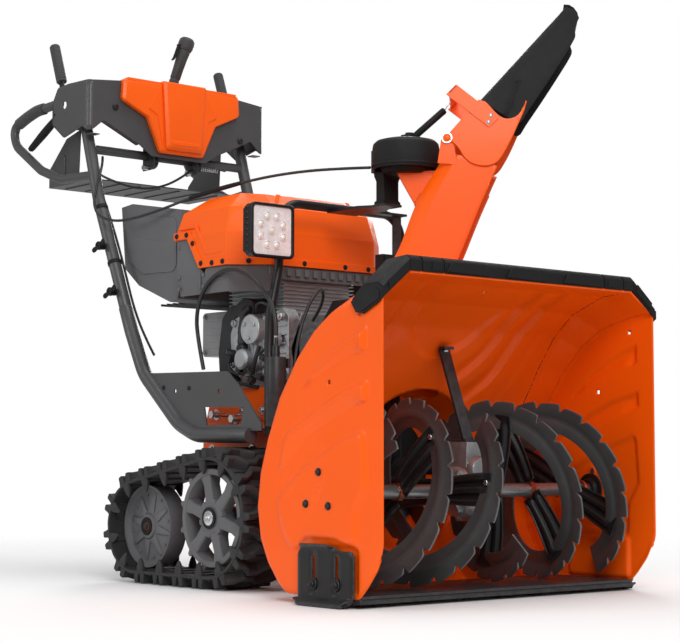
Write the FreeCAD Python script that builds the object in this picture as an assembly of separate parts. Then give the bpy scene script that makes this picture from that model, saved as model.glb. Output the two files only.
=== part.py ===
import FreeCAD, Part
import math, os
from FreeCAD import Vector as V, Placement, Rotation, Matrix

os.makedirs("parts", exist_ok=True)

# ---------------------------------------------------------------- driving dimensions (mm)
Y0 = 780.0            # distance from the housing mouth plane back to the frame origin
HALF_W = 385.0        # half working width over the side plates
SHEET = 2.6           # housing sheet thickness
AUG_Y, AUG_Z = 179.0, 213.0      # auger shaft axis
AUG_R = 186.5                    # auger flight outer radius
AUG_RIN = 128.0                  # auger ribbon inner radius
AUG_TUBE = 14.5                  # auger tube radius
IMP_Z = 255.0                    # impeller axis height
IMP_R = 163.0                    # impeller tip radius
DRUM_R = 170.0                   # impeller drum inner radius
CH_Y = 357.0                     # chute turning axis, x = 0
CH_ANGLE = 45.0                  # chute direction at rest, to machine left of straight ahead
SPR_Y, SPR_Z, SPR_R = 638.0, 152.0, 109.0   # track drive sprocket
IDL_Y, IDL_Z, IDL_R = 917.0, 126.0, 97.0    # rear track idler
TRK_X0, TRK_X1 = 165.0, 320.0               # track inner and outer plane
TUBE_X = 235.0                   # handle tube plane
TUBE_R = 15.0
HOOP_R = 10.0
CRANK_Y, CRANK_Z = 620.0, 500.0  # crank shaft nose
PTO_Z = 500.0
SHAFT_R = 10.0

OUT = {}


def put(name, shape):
    s = shape.copy()
    s.translate(V(0, -Y0, 0))
    OUT[name] = s


# ---------------------------------------------------------------- helpers
def poly(pts, plane, a, b):
    """prism: closed polygon in plane yz / xz / xy, from a to b along the third axis"""
    if plane == "yz":
        P = [V(a, p[0], p[1]) for p in pts]; D = V(b - a, 0, 0)
    elif plane == "xz":
        P = [V(p[0], a, p[1]) for p in pts]; D = V(0, b - a, 0)
    else:
        P = [V(p[0], p[1], a) for p in pts]; D = V(0, 0, b - a)
    w = Part.makePolygon(P + [P[0]])
    return Part.Face(w).extrude(D)


def box(x0, x1, y0, y1, z0, z1):
    return Part.makeBox(x1 - x0, y1 - y0, z1 - z0, V(x0, y0, z0))


def cyl(p, d, r, h):
    return Part.makeCylinder(r, h, V(*p), V(*d))


def cone(p, d, r0, r1, h):
    return Part.makeCone(r0, r1, h, V(*p), V(*d))


def ring(p, d, r1, r0, h):
    n = V(*d); n.normalize()
    q = V(*p) - n * 1.0
    return cyl(p, d, r1, h).cut(Part.makeCylinder(r0, h + 2, q, n))


def mir(s):
    return s.mirror(V(0, 0, 0), V(1, 0, 0))


def fuse(a):
    a = list(a)
    s = a[0]
    if len(a) > 1:
        s = s.multiFuse(a[1:])
        try:
            s = s.removeSplitter()
        except Exception:
            pass
    return s


def group(a):
    sol = []
    for s in a:
        sol += s.Solids
    return Part.makeCompound(sol)


def offs(pts, d):
    """offset an open polyline by d to its right-hand side"""
    n = len(pts); out = []
    for i in range(n):
        ds = []
        if i > 0: ds.append((pts[i][0] - pts[i-1][0], pts[i][1] - pts[i-1][1]))
        if i < n - 1: ds.append((pts[i+1][0] - pts[i][0], pts[i+1][1] - pts[i][1]))
        ns = []
        for a, b in ds:
            L = math.hypot(a, b); ns.append((b / L, -a / L))
        if len(ns) == 2:
            mx, my = ns[0][0] + ns[1][0], ns[0][1] + ns[1][1]
            k = (mx * mx + my * my) / 2.0
            k = max(k, 0.3)
            out.append((pts[i][0] + d * mx / k, pts[i][1] + d * my / k))
        else:
            out.append((pts[i][0] + d * ns[0][0], pts[i][1] + d * ns[0][1]))
    return out


def strip(pts, t):
    return list(pts) + list(reversed(offs(pts, t)))


def route(points, radius=None, frac=0.45):
    """wire of straight runs joined by tangent arcs; default radius 0.45 of the shorter run / tan(half turn)"""
    P = [V(*p) for p in points]
    edges = []; cur = P[0]; radii = []
    for i in range(1, len(P) - 1):
        a = P[i] - P[i-1]; b = P[i+1] - P[i]
        la, lb = a.Length, b.Length
        ua = a * (1 / la); ub = b * (1 / lb)
        turn = ua.getAngle(ub)
        if turn < 1e-3:
            continue
        if radius is None:
            r = frac * min(la, lb) / math.tan(turn / 2)
        else:
            r = min(radius, frac * min(la, lb) / math.tan(turn / 2))
        radii.append(r)
        t = r * math.tan(turn / 2)
        p1 = P[i] - ua * t; p2 = P[i] + ub * t
        bis = (ub - ua); bis.normalize()
        cen = P[i] + bis * (r / math.cos(turn / 2))
        m = (P[i] - cen); m.normalize(); mid = cen + m * r
        if (p1 - cur).Length > 1e-4:
            edges.append(Part.LineSegment(cur, p1).toShape())
        edges.append(Part.Arc(p1, mid, p2).toShape())
        cur = p2
    edges.append(Part.LineSegment(cur, P[-1]).toShape())
    return Part.Wire(edges), radii


def tube(points, r, radius=None, hollow=None, frac=0.45):
    w, rad = route(points, radius, frac)
    e = w.Edges[0]
    d = e.tangentAt(e.FirstParameter)
    prof = Part.Wire([Part.Circle(V(*points[0]), d, r).toShape()])
    s = w.makePipeShell([prof], True, False)
    if hollow:
        prof2 = Part.Wire([Part.Circle(V(*points[0]), d, hollow).toShape()])
        s = s.cut(w.makePipeShell([prof2], True, False))
    return s, w, rad


def bolt(p, d, r=5.5, h=4.0, shank=None):
    """hex head with its shank running the other way"""
    n = V(*d); n.normalize()
    ref = V(0, 0, 1) if abs(n.z) < 0.9 else V(1, 0, 0)
    a = n.cross(ref); a.normalize(); b = n.cross(a)
    P = [V(*p) + a * (r * math.cos(k * math.pi / 3)) + b * (r * math.sin(k * math.pi / 3)) for k in range(6)]
    s = Part.Face(Part.makePolygon(P + [P[0]])).extrude(n * h)
    if shank:
        s = s.fuse(Part.makeCylinder(r * 0.55, shank, V(*p), n * -1.0))
    return s


def rotx(s, yc, zc, deg):
    t = s.copy(); t.rotate(V(0, yc, zc), V(1, 0, 0), deg); return t


# ---------------------------------------------------------------- auger housing
side_outline = [(0, 589), (0, 156), (0, 112), (20, 72), (47, 39), (71, 16), (287, 18), (313, 38), (344, 75),
                (368, 121), (378, 183), (369, 251), (346, 318), (308, 398), (255, 473), (203, 524), (145, 561), (60, 583)]
sp = poly(side_outline, "yz", -HALF_W, -HALF_W + 3.0)
hub = cyl((-HALF_W + 2.0, AUG_Y, AUG_Z), (1, 0, 0), 30.0, 14.0)
sp = sp.fuse(hub).cut(cyl((-HALF_W + 2.5, AUG_Y, AUG_Z), (1, 0, 0), 12.55, 20.0))
for y, z in ((65, 550), (154, 424)):
    sp = sp.cut(box(-400, -370, y - 4, y + 4, z - 4, z + 4))
put("side_plates", group([sp, mir(sp)]))

low = [(2, 586), (60, 580), (145, 558), (203, 521), (255, 470), (308, 397), (345, 317), (368, 250), (377, 183),
       (367, 121), (343, 75), (312, 40), (287, 20.5), (95, 20.5)]
high = [(2, 629), (75, 624), (160, 592), (215, 545), (262, 480), (311, 400), (345, 317), (368, 250), (377, 183),
        (367, 121), (343, 75), (312, 40), (287, 20.5), (95, 20.5)]
XS = HALF_W - 3.0
XM = 317.0


def wire_at(x, pts):
    P = [V(x, p[0], p[1]) for p in strip(pts, SHEET)]
    return Part.makePolygon(P + [P[0]])


mid = Part.makeLoft([wire_at(-XM, high), wire_at(XM, high)], True, True)
wr = Part.makeLoft([wire_at(XM, high), wire_at(XS, low)], True, True)
wl = Part.makeLoft([wire_at(-XS, low), wire_at(-XM, high)], True, True)
drum_hole = cyl((0, 250, IMP_Z), (0, 1, 0), DRUM_R, 160)
back = fuse([mid, wr, wl]).cut(drum_hole)
put("housing_back", back)

# scraper bar along the bottom edge, bolted under the floor of the housing
put("scraper_bar", poly([(66, 8), (112, 8), (112, 17.6), (66, 17.6)], "yz", -XS + 0.0, XS))

# space inside the housing, used to trim the drum and the neck
inner = offs(high, SHEET * 0.5)
interior = poly([(-40, 640), (2, 640)] + [(p[0], p[1]) for p in offs(high, 0.0)[1:]] + [(-40, 20)], "yz", -XM, XM)
drum = cyl((0, 290, IMP_Z), (0, 1, 0), DRUM_R + 4, 150).fuse(cyl((0, CH_Y, 395), (0, 0, 1), 72, 217))
drum = drum.fuse(cyl((0, CH_Y, 605), (0, 0, 1), 86, 7))
drum = drum.cut(cyl((0, 280, IMP_Z), (0, 1, 0), DRUM_R, 156))
drum = drum.cut(cyl((0, CH_Y, 380), (0, 0, 1), 68, 240))
drum = drum.cut(interior)
drum = drum.cut(cyl((0, 430, IMP_Z), (0, 1, 0), SHAFT_R + 0.05, 20))
sol = sorted(drum.Solids, key=lambda s: -s.Volume)
put("impeller_drum", sol[0])

# black cap over the top front edge, with wrapped corners
capm = poly(strip([(-6, 628.5), (-6, 655), (6, 663), (60, 661), (80, 652)], -4.0), "yz", -300, 300)
capm = poly([(-3.5, 630), (-3.5, 652), (6, 661), (62, 657), (84, 627), (75, 626.8), (2, 631.8), (0.0, 631.8), (0.0, 630)], "yz", -318, 318)
corner_lo = [(-3.5, 575), (-3.5, 596), (10, 606), (52, 604), (84, 574), (84, 560), (60, 584.5), (2, 590.8), (0.0, 590.8), (0.0, 575)]
corner_hi = [(-3.5, 630), (-3.5, 652), (6, 661), (62, 657), (92, 628), (92, 621.5), (75, 626.8), (2, 631.8), (0.0, 631.8), (0.0, 630)]


def wpoly(x, pts):
    P = [V(x, p[0], p[1]) for p in pts]
    return Part.makePolygon(P + [P[0]])


cr = Part.makeLoft([wpoly(318, corner_hi), wpoly(386.2, corner_lo)], True, True)
lip = poly([(-3.5, 575), (-3.5, 592), (10, 600), (52, 600), (84, 572), (70, 552), (50, 548), (10, 566)], "yz", 386.2, 391)
put("housing_cap", fuse([capm, cr, lip, mir(cr), mir(lip)]))

# flat brace from the gear case to the housing back
def bar3(p0, p1, w, t, wdir):
    """flat bar between two points, width along wdir"""
    a = V(*p0); b = V(*p1); d = b - a; L = d.Length; d.normalize()
    wv = V(*wdir); n = d.cross(wv); n.normalize()
    P = [a + wv * (w/2) + n * (t/2), a - wv * (w/2) + n * (t/2), a - wv * (w/2) - n * (t/2), a + wv * (w/2) - n * (t/2)]
    return Part.Face(Part.makePolygon(P + [P[0]])).extrude(b - a)


brace = fuse([bar3((0, 171, 318), (0, 243, 512), 28, 6, (1, 0, 0)), box(-14, 14, 224, 244, 505.5, 511.5),
              box(-14, 14, 163, 200, 312.5, 318.5)])
inside_cut = poly([(2, 700)] + high[0:8] + [(420, 249), (420, 700)], "yz", -100, 100)
put("auger_brace", brace.cut(inside_cut))

# gear case: worm wheel housing with input nose
case = fuse([cyl((-34, AUG_Y, AUG_Z), (1, 0, 0), 54, 68), cyl((-52, AUG_Y, AUG_Z), (1, 0, 0), 30, 104),
             cyl((0, 128, IMP_Z), (0, 1, 0), 30, 118), box(-24, 24, 150, 214, 255, 312.5)])
case_in = fuse([cyl((-28, AUG_Y, AUG_Z), (1, 0, 0), 48, 56), cyl((-60, AUG_Y, AUG_Z), (1, 0, 0), SHAFT_R + 0.05, 120),
                cyl((0, 150, IMP_Z), (0, 1, 0), 22, 70), cyl((0, 200, IMP_Z), (0, 1, 0), SHAFT_R + 0.05, 60)])
put("gear_case", case.cut(case_in))

# ---------------------------------------------------------------- auger
def helix_solid(hand, x0, x1, turns, phase, n):
    """the whole ribbon as one closed faceted solid"""
    secs = []
    for k in range(n + 1):
        a = phase + hand * 2 * math.pi * turns * k / n
        x = x0 + (x1 - x0) * k / n
        c, s = math.cos(a), math.sin(a)
        secs.append([V(x - 2.5, AUG_Y + AUG_RIN * c, AUG_Z + AUG_RIN * s), V(x - 2.5, AUG_Y + AUG_R * c, AUG_Z + AUG_R * s),
                     V(x + 2.5, AUG_Y + AUG_R * c, AUG_Z + AUG_R * s), V(x + 2.5, AUG_Y + AUG_RIN * c, AUG_Z + AUG_RIN * s)])
    f = []

    def tri(*pp): f.append(Part.Face(Part.makePolygon(list(pp) + [pp[0]])))
    for k in range(n):
        A, B = secs[k], secs[k + 1]
        for i in range(4):
            j = (i + 1) % 4
            tri(A[i], A[j], B[j]); tri(A[i], B[j], B[i])
    tri(secs[0][0], secs[0][1], secs[0][2]); tri(secs[0][0], secs[0][2], secs[0][3])
    tri(secs[n][0], secs[n][1], secs[n][2]); tri(secs[n][0], secs[n][2], secs[n][3])
    so = Part.Solid(Part.Shell(f))
    if so.Volume < 0: so.reverse()
    return so


# each side: two ribbons, half a turn apart, sense mirrored left to right
AUG_TURNS = 390.0 / 360.0
AUG_PH = {1: math.radians(222), -1: math.radians(123)}
flights = []
XA, XB = 40.0, 335.0
for side in (-1, 1):
    for ph in (0.0, math.pi):
        flights.append(helix_solid(1, side * XA, side * XB, AUG_TURNS, AUG_PH[side] + ph, 30))
put("auger_flights", group(flights))

# shaft: solid rod through both bearings, worm wheel inside the case, tubes and flat arms to the ribbons
shaft = [cyl((-378, AUG_Y, AUG_Z), (1, 0, 0), SHAFT_R, 756), cyl((-376.5, AUG_Y, AUG_Z), (1, 0, 0), 12.5, 14), cyl((362.5, AUG_Y, AUG_Z), (1, 0, 0), 12.5, 14),
         cyl((-11, AUG_Y, AUG_Z), (1, 0, 0), 34, 22)]
for side in (-1, 1):
    shaft.append(cyl((side * 55 if side > 0 else -362, AUG_Y, AUG_Z), (1, 0, 0), AUG_TUBE, 307))
    for ph in (0.0, math.pi):
        for fr in (0.14, 0.5, 0.88):
            x = side * (XA + (XB - XA) * fr)
            a = AUG_PH[side] + ph + 2 * math.pi * AUG_TURNS * fr
            d = (0, math.cos(a), math.sin(a))
            arm = Part.makeBox(8, AUG_RIN + 6, 30, V(x - 4, 0, -15))
            arm.rotate(V(0, 0, 0), V(1, 0, 0), math.degrees(a))
            arm.translate(V(0, AUG_Y, AUG_Z))
            shaft.append(arm)
put("auger_shaft", fuse(shaft))

# impeller: five blades on a hub, shaft to the gear case nose and back to its pulley
imp = [cyl((0, 225, IMP_Z), (0, 1, 0), SHAFT_R, 285), cyl((0, 374, IMP_Z), (0, 1, 0), 28, 56), cyl((0, 424, IMP_Z), (0, 1, 0), 120, 5)]
for k in range(5):
    bl = Part.makeBox(IMP_R - 24, 54, 4, V(24, 373, -2))
    tip = Part.makeBox(4, 52, 22, V(IMP_R - 6, 373, -2))
    b = bl.fuse(tip)
    b.rotate(V(0, 0, 0), V(0, 1, 0), -72 * k - 20)
    b.translate(V(0, 0, IMP_Z)); imp.append(b)
# worm on the shaft nose inside the case
worm = cyl((0, 168, IMP_Z), (0, 1, 0), 7.5, 32)
imp.append(worm); imp.append(cyl((0, 195, IMP_Z), (0, 1, 0), SHAFT_R, 40))
pul = cyl((0, 466, IMP_Z), (0, 1, 0), 95, 34).cut(ring((0, 470, IMP_Z), (0, 1, 0), 96, 84, 11)).cut(ring((0, 485, IMP_Z), (0, 1, 0), 96, 84, 11))
imp.append(pul)
put("impeller", fuse(imp))

# belts: closed loops over both pulleys
def belt(y, rt, zt, rb, zb):
    """two-pulley loop in a plane of constant y"""
    def outline(e):
        R1, R2 = rt + e, rb + e
        d = zt - zb; al = math.asin((R2 - R1) / d)
        n = 28; P = []
        for k in range(n + 1):
            a = al + (math.pi - 2 * al) * k / n
            P.append((R1 * math.cos(a), zt + R1 * math.sin(a)))
        for k in range(n + 1):
            a = math.pi - al + (math.pi + 2 * al) * k / n
            P.append((R2 * math.cos(a), zb + R2 * math.sin(a)))
        return P
    return poly(outline(8.0), "xz", y, y + 8).cut(poly(outline(0.0), "xz", y - 1, y + 9))


put("drive_belts", group([belt(471.5, 42.8, PTO_Z, 84.5, IMP_Z), belt(486.5, 42.8, PTO_Z, 84.5, IMP_Z)]))
ep = cyl((0, 466, PTO_Z), (0, 1, 0), 52, 34).cut(ring((0, 470, PTO_Z), (0, 1, 0), 60, 42.3, 11)).cut(ring((0, 485, PTO_Z), (0, 1, 0), 60, 42.3, 11))
ep = fuse([ep, cyl((0, 500, PTO_Z), (0, 1, 0), 13, 80), cyl((0, 500, PTO_Z), (0, 1, 0), 24, 14), cyl((0, 595, PTO_Z), (0, 1, 0), 22, 10), cyl((0, 575, PTO_Z), (0, 1, 0), 10, 60)])
put("crank_pulley", ep)

# ---------------------------------------------------------------- belt cover between housing and engine
bc = poly([(-112, 330), (-118, 420), (-100, 560), (-60, 624), (60, 624), (100, 560), (118, 420), (112, 330), (112, 150), (-112, 150)], "xz", 446, 530)
bci = poly([(-109, 334), (-115, 420), (-97, 558), (-58, 621), (58, 621), (97, 558), (115, 420), (109, 334), (109, 153), (-109, 153)], "xz", 449, 527)
bc = bc.cut(bci).cut(cyl((0, 440, IMP_Z), (0, 1, 0), 14, 20)).cut(cyl((0, 520, PTO_Z), (0, 1, 0), 27, 20))
put("belt_cover", bc)

# ---------------------------------------------------------------- frame box, transmission
fr = box(-150, 150, 535, 885, 262, 350).cut(box(-146, 146, 538.5, 881.5, 255, 346))
fr = fr.fuse(box(-150, -146, 552, 640, 110, 266)).fuse(box(146, 150, 552, 640, 110, 266))
fr = fr.fuse(box(-150, -146, 636, 700, 190, 266)).fuse(box(146, 150, 636, 700, 190, 266))
fr = fr.fuse(poly([(552, 266), (552, 110), (690, 110), (700, 190), (760, 266)], "yz", -150, -146)).fuse(poly([(552, 266), (552, 110), (690, 110), (700, 190), (760, 266)], "yz", 146, 150))
fr = fr.fuse(box(-150, 150, 531, 535, 150, 420))          # front plate joining the housing side
fr = fr.fuse(poly([(535, 346), (880, 346), (850, 436), (545, 436)], "yz", -150, -146)).fuse(poly([(535, 346), (880, 346), (850, 436), (545, 436)], "yz", 146, 150))
fr = fr.cut(cyl((0, 520, IMP_Z), (0, 1, 0), 14, 30)).cut(cyl((0, 525, 500), (0, 1, 0), 40, 20))
fr = fr.cut(cyl((-160, SPR_Y, SPR_Z), (1, 0, 0), 22.0, 320))
put("motor_frame", fr)
tr = fuse([box(-90, 90, 565, 720, 118, 250), cyl((-172, SPR_Y, SPR_Z), (1, 0, 0), 22, 344)])
tr = tr.cut(cyl((-180, SPR_Y, SPR_Z), (1, 0, 0), 12.55, 360))
tr = tr.cut(box(-4, 4, 600, 680, 130, 175))
put("transmission", tr)

# ---------------------------------------------------------------- engine
eng = [box(-120, 120, 585, 860, 404.5, 430),                       # base
       poly([(-105, 430), (105, 430), (120, 520), (90, 600), (-90, 600), (-120, 520)], "xz", 600, 845),
       cyl((-168, 690, 565), (1, 0, 0), 34, 70),                  # silver cylinder on the side
       box(-150, -100, 655, 790, 470, 590),
       poly([(652, 600), (845, 600), (856, 690), (660, 690)], "yz", -95, 95)]
eng = fuse(eng).cut(cyl((0, 590, PTO_Z), (0, 1, 0), 24, 30)).cut(cyl((0, 590, PTO_Z), (0, 1, 0), 10.05, 50))
put("engine_block", eng)
HX = 226.0


def hplan(k, y0, z):
    """eight-sided plan outline of the engine hood at one level, pulled in by k"""
    return [V(-150 + k * 0.6, 632 + y0 + k, z), (V(150 - k * 0.6, 632 + y0 + k, z)), V(HX - k, 700 + k * 0.4, z), V(HX - k, 896 - k, z),
            V(HX - 18 - k, 912 - k, z), V(-HX + 18 + k, 912 - k, z), V(-HX + k, 896 - k, z), V(-HX + k, 700 + k * 0.4, z)]


def hwire(k, y0, z):
    P = hplan(k, y0, z)
    return Part.makePolygon(P + [P[0]])


ho = Part.makeLoft([hwire(0, 0, 706), hwire(0, 0, 780), hwire(14, 0, 838), hwire(58, 12, 874)], True, True)
hi = Part.makeLoft([hwire(3.5, 0, 704), hwire(3.5, 0, 780), hwire(17, 0, 836), hwire(60, 12, 870)], True, True)
rearcut = poly([(790, 690), (846, 776), (930, 776), (930, 690)], "yz", -240, 240)
put("engine_hood", ho.cut(hi).cut(rearcut))
so = Part.makeLoft([hwire(10, 0, 648), hwire(4.2, 0, 700), hwire(4.2, 0, 776)], True, True)
si = Part.makeLoft([hwire(13, 0, 646), hwire(7.2, 0, 700), hwire(7.2, 0, 778)], True, True)
sh = so.cut(si).cut(poly([(600, 705.5), (600, 800), (846.5, 800), (846.5, 775.5), (789.5, 690), (779, 705.5)], "yz", -240, 240))
sh = sh.cut(box(-126, 126, 600, 700, 600, 676))
put("engine_shroud", sh)
tk = poly([(916, 855), (916, 690), (930, 648), (960, 642), (1090, 690), (1150, 735), (1168, 886), (1120, 890)], "yz", -194, 194)
tk = tk.cut(poly([(920, 851), (920, 690), (932, 653), (960, 646), (1088, 694), (1146, 738), (1163, 882), (1120, 886)], "yz", -190, 190))
tk = tk.cut(cyl((60, 1055, 870), (0, 0, 1), 24.5, 60)).fuse(ring((60, 1055, 870), (0, 0, 1), 28, 24.5, 30))
put("fuel_tank", tk)
put("fuel_cap", fuse([cyl((60, 1055, 900.5), (0, 0, 1), 33, 16), cyl((60, 1055, 884), (0, 0, 1), 24.0, 18)]))
mf = box(-70, 120, 865, 1000, 520, 624).cut(box(-67, 117, 868, 997, 523, 621))
mf = mf.cut(box(-80, 130, 930, 935, 530, 612))
put("muffler_guard", mf)
rc = cyl((0, 861, 500), (0, 1, 0), 98, 26).fuse(box(-98, 98, 861, 864.5, 440, 600)).cut(cyl((0, 860, 500), (0, 1, 0), 92, 22)).cut(cyl((0, 880, 428), (0, 1, 0), 9, 20))
rc = rc.cut(box(-75, 125, 864.5, 900, 518, 640))
put("recoil_cover", rc)
put("recoil_grip", fuse([cyl((-38, 902, 428), (1, 0, 0), 9, 76), cyl((0, 888, 428), (0, 1, 0), 8.5, 10), cyl((0, 868, 428), (0, 1, 0), 2.5, 36)]))

# ---------------------------------------------------------------- guard hoop and its plate
hp = [(-204, 570, 330), (-206, 570, 470), (-203, 570, 590), (-180, 570, 690), (-176, 570, 836), (176, 570, 836), (180, 570, 690), (203, 570, 590), (206, 570, 470), (204, 570, 330)]
hoop, hw, hr = tube(hp, HOOP_R, 55.0)
arm = fuse([box(-206, -150, 563, 577, 330, 352), box(150, 206, 563, 577, 330, 352)])
plate = poly([(-25, 398), (25, 398), (25, 440), (42, 470), (42, 572), (-42, 572), (-42, 470), (-25, 440)], "xy", 824, 829)
strap = fuse([box(110, 134, 520, 524, 640, 829.0), box(40, 134, 500, 524, 824, 829)])
sbr = box(-214, -207, 494, 574, 470, 490).cut(cyl((-220, 504, 480), (1, 0, 0), 5.05, 20))
hoop = fuse([hoop, arm, plate, strap, sbr, box(-188, -172, 548, 566, 753, 773), cyl((-210, 558, 763), (1, 0, 0), 4.0, 30), box(110, 134, 480, 524, 640.5, 645)])
put("guard_hoop", hoop)
head = fuse([cyl((0, CH_Y, 898), (0, 0, 1), 72, 68), box(-25, 25, 402, 432, 829, 899)])
head = head.cut(cyl((0, CH_Y, 896), (0, 0, 1), 68, 62)).cut(cyl((0, CH_Y, 950), (0, 0, 1), 12, 20))
put("rotator_head", head)

# ---------------------------------------------------------------- chute (local: u forward, v sideways), turned to its rest direction
def chute_place(s):
    t = s.copy()
    t.rotate(V(0, 0, 0), V(0, 0, 1), -90.0 + CH_ANGLE)
    t.translate(V(0, CH_Y, 0))
    return t


b_curve = [(-64, 634), (-45, 668), (-12, 722), (26, 820), (69, 893), (88, 925)]
f_curve = [(195, 893), (158, 812), (121, 721), (97, 668), (74, 634)]
CW = 73.5
side_poly = b_curve + f_curve
ch = [poly(side_poly, "xz", -CW, -CW + 2.5), poly(side_poly, "xz", CW - 2.5, CW),
      poly(strip(b_curve, 2.5), "xz", -CW, CW)]
lipc = [(96, 668), (120, 721), (157, 812), (180.5, 862)]
lipp = strip(lipc, 2.5)
ch += [poly(lipp, "xz", -CW - 12, -CW + 1), poly(lipp, "xz", CW - 1, CW + 12)]
# hinge ears of the deflector at the top of both side walls
for v0 in (-CW, CW - 2.5):
    ear = poly([(78, 953), (70, 905), (110, 905), (102, 953)], "xz", v0, v0 + 2.5).fuse(cyl((90, v0, 953), (0, 1, 0), 12, 2.5))
    ch.append(ear.cut(cyl((90, v0 - 2, 953), (0, 1, 0), 4.05, 7)))
collar = ring((0, 0, 612.5), (0, 0, 1), 86, 70, 5).fuse(ring((0, 0, 617), (0, 0, 1), 74, 70, 22))
lowfront = poly([(70, 630), (74, 634), (97, 668), (94.5, 669), (71, 636), (66, 632)], "xz", -CW, CW)
ch += [collar, lowfront]
chs = fuse(ch)
# stop ring clips that hold the chute flange down
put("chute", chute_place(chs))
gus = fuse([poly([(-20, 889), (66, 889), (24.5, 821), (20, 821)], "xz", -22, -18), poly([(-20, 889), (66, 889), (24.5, 821), (20, 821)], "xz", 18, 22),
            poly([(-20, 889), (65, 889), (66, 893), (-20, 893)], "xz", -22, 22), cyl((0, 0, 889), (0, 0, 1), 40, 10),
            cyl((0, 0, 898), (0, 0, 1), 52, 40), cyl((0, 0, 930), (0, 0, 1), 11, 44)])
hs = poly([(26 - 2.8, 820), (69 - 2.8, 893), (88 - 2.8, 925), (300, 925), (300, 700), (-15, 722)], "xz", -100, 100)
gus = gus.cut(hs)
# spring sleeve of the deflector cable, standing on the swivel
sl0 = V(20, 0, 972); sl1 = V(84, 0, 1028)
gus = gus.fuse(Part.makeCylinder(7.5, (sl1 - sl0).Length, sl0, sl1 - sl0)).fuse(cyl((8, 0, 966.4), (0, 0, 1), 10, 12)).fuse(box(4, 30, -5, 5, 968, 978))
gus = gus.fuse(cyl((0, 0, 966.4), (0, 0, 1), 10.8, 8))
put("chute_rotor", chute_place(gus))

# deflector: orange hinge cheeks and a black hood
chk = [(88, 955), (118, 931), (128, 912), (158, 896), (182, 895), (199, 906), (216, 933), (238, 979), (256, 1027), (243, 1004), (222, 993), (200, 999), (172, 1029), (156, 1032)]
DW = 80.5
df = [poly(chk, "xz", -DW, -DW + 2.2), poly(chk, "xz", DW - 2.2, DW), poly(strip([(106, 974.6), (157, 1030)], 2.2), "xz", -DW, DW)]
for sg in (-1, 1):
    v0, v1 = (-DW, -DW + 2.2) if sg < 0 else (DW - 2.2, DW)
    df.append(cyl((90, v0, 953), (0, 1, 0), 12, v1 - v0))
    df.append(cyl((90, -83.5 if sg < 0 else 70, 953), (0, 1, 0), 4.0, 13.5))
    df.append(cyl((90, -83.5 if sg < 0 else DW - 0.2, 953), (0, 1, 0), 8.0, 3.2))
lev = [poly([(94, 1050), (108, 1064), (186, 998), (172, 986)], "xz", -DW - 3.0, -DW), poly([(94, 1050), (108, 1064), (186, 998), (172, 986)], "xz", DW, DW + 3.0),
       poly([(94, 1050), (108, 1064), (110, 1062), (96, 1048)], "xz", -DW - 3.0, DW + 3.0)]
put("deflector", chute_place(fuse(df + lev)))
hd = [(157, 1033), (341, 1233), (360, 1226), (370, 1208), (357, 1181), (361, 1167), (356, 1152), (300, 1070), (243, 982), (222, 990), (200, 996), (172, 1026)]
HW = 77.5
hb = [poly(hd, "xz", -HW, -HW + 3.0), poly(hd, "xz", HW - 3.0, HW), poly(strip([(157, 1033), (341, 1233)], 3.5), "xz", -HW, HW),
      poly(strip([(341, 1233), (360, 1226), (370, 1208)], 3.5), "xz", -HW, HW)]
put("deflector_hood", chute_place(fuse(hb)))

# ---------------------------------------------------------------- lower handle frame: tubes and gusset plates (both sides)
lt_pts = [(-TUBE_X, 595, 328), (-TUBE_X, 792, 330), (-TUBE_X, 861, 357), (-TUBE_X, 1002, 474), (-TUBE_X, 1057.9, 576.5), (-TUBE_X, 1083.9, 633.9)]
ltube, lw, lr = tube(lt_pts, TUBE_R + 1.5, 120.0)
lslot = tube([(-TUBE_X, 1040.0, 536), (-TUBE_X, 1084.5, 635.1)], TUBE_R - 3.95)[0]
gp = poly([(1018, 476), (679, 469), (640, 440), (555, 352), (555, 338), (800, 338), (861, 366), (1000, 478)], "yz", -TUBE_X - 2, -TUBE_X + 2)
gp = gp.cut(poly([(763, 392), (753, 352), (627, 352), (618, 389)], "yz", -240, -230)).cut(cyl((-240, 707, 426), (1, 0, 0), 5, 12)).cut(cyl((-240, 875, 431), (1, 0, 0), 5, 12))
br = fuse([box(-235, -150, 600, 790, 338.5, 344)])
lf = fuse([ltube, gp, br])
# socket for the upper tube
lf = lf.cut(cyl((-TUBE_X, 1084.3 - 110 * 0.41195, 634.8 - 110 * 0.91121), (0, 0.41195, 0.91121), TUBE_R - 3.95, 130))
put("lower_handle", group([lf, mir(lf)]))
HD = V(0, 0.41195, 0.91121)

# ---------------------------------------------------------------- upper handle: tube, loops, cross bar
ut_pts = [(-TUBE_X, 1084.3, 634.8), (-TUBE_X, 1206, 904), (-TUBE_X, 1261, 1074), (-TUBE_X, 1290, 1165)]
utube = tube(ut_pts, TUBE_R, 200.0)[0]
plug = cyl((-TUBE_X, 1084.3 - 98 * 0.41195, 634.8 - 98 * 0.91121), (0, 0.41195, 0.91121), TUBE_R - 4.0, 110)
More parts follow.
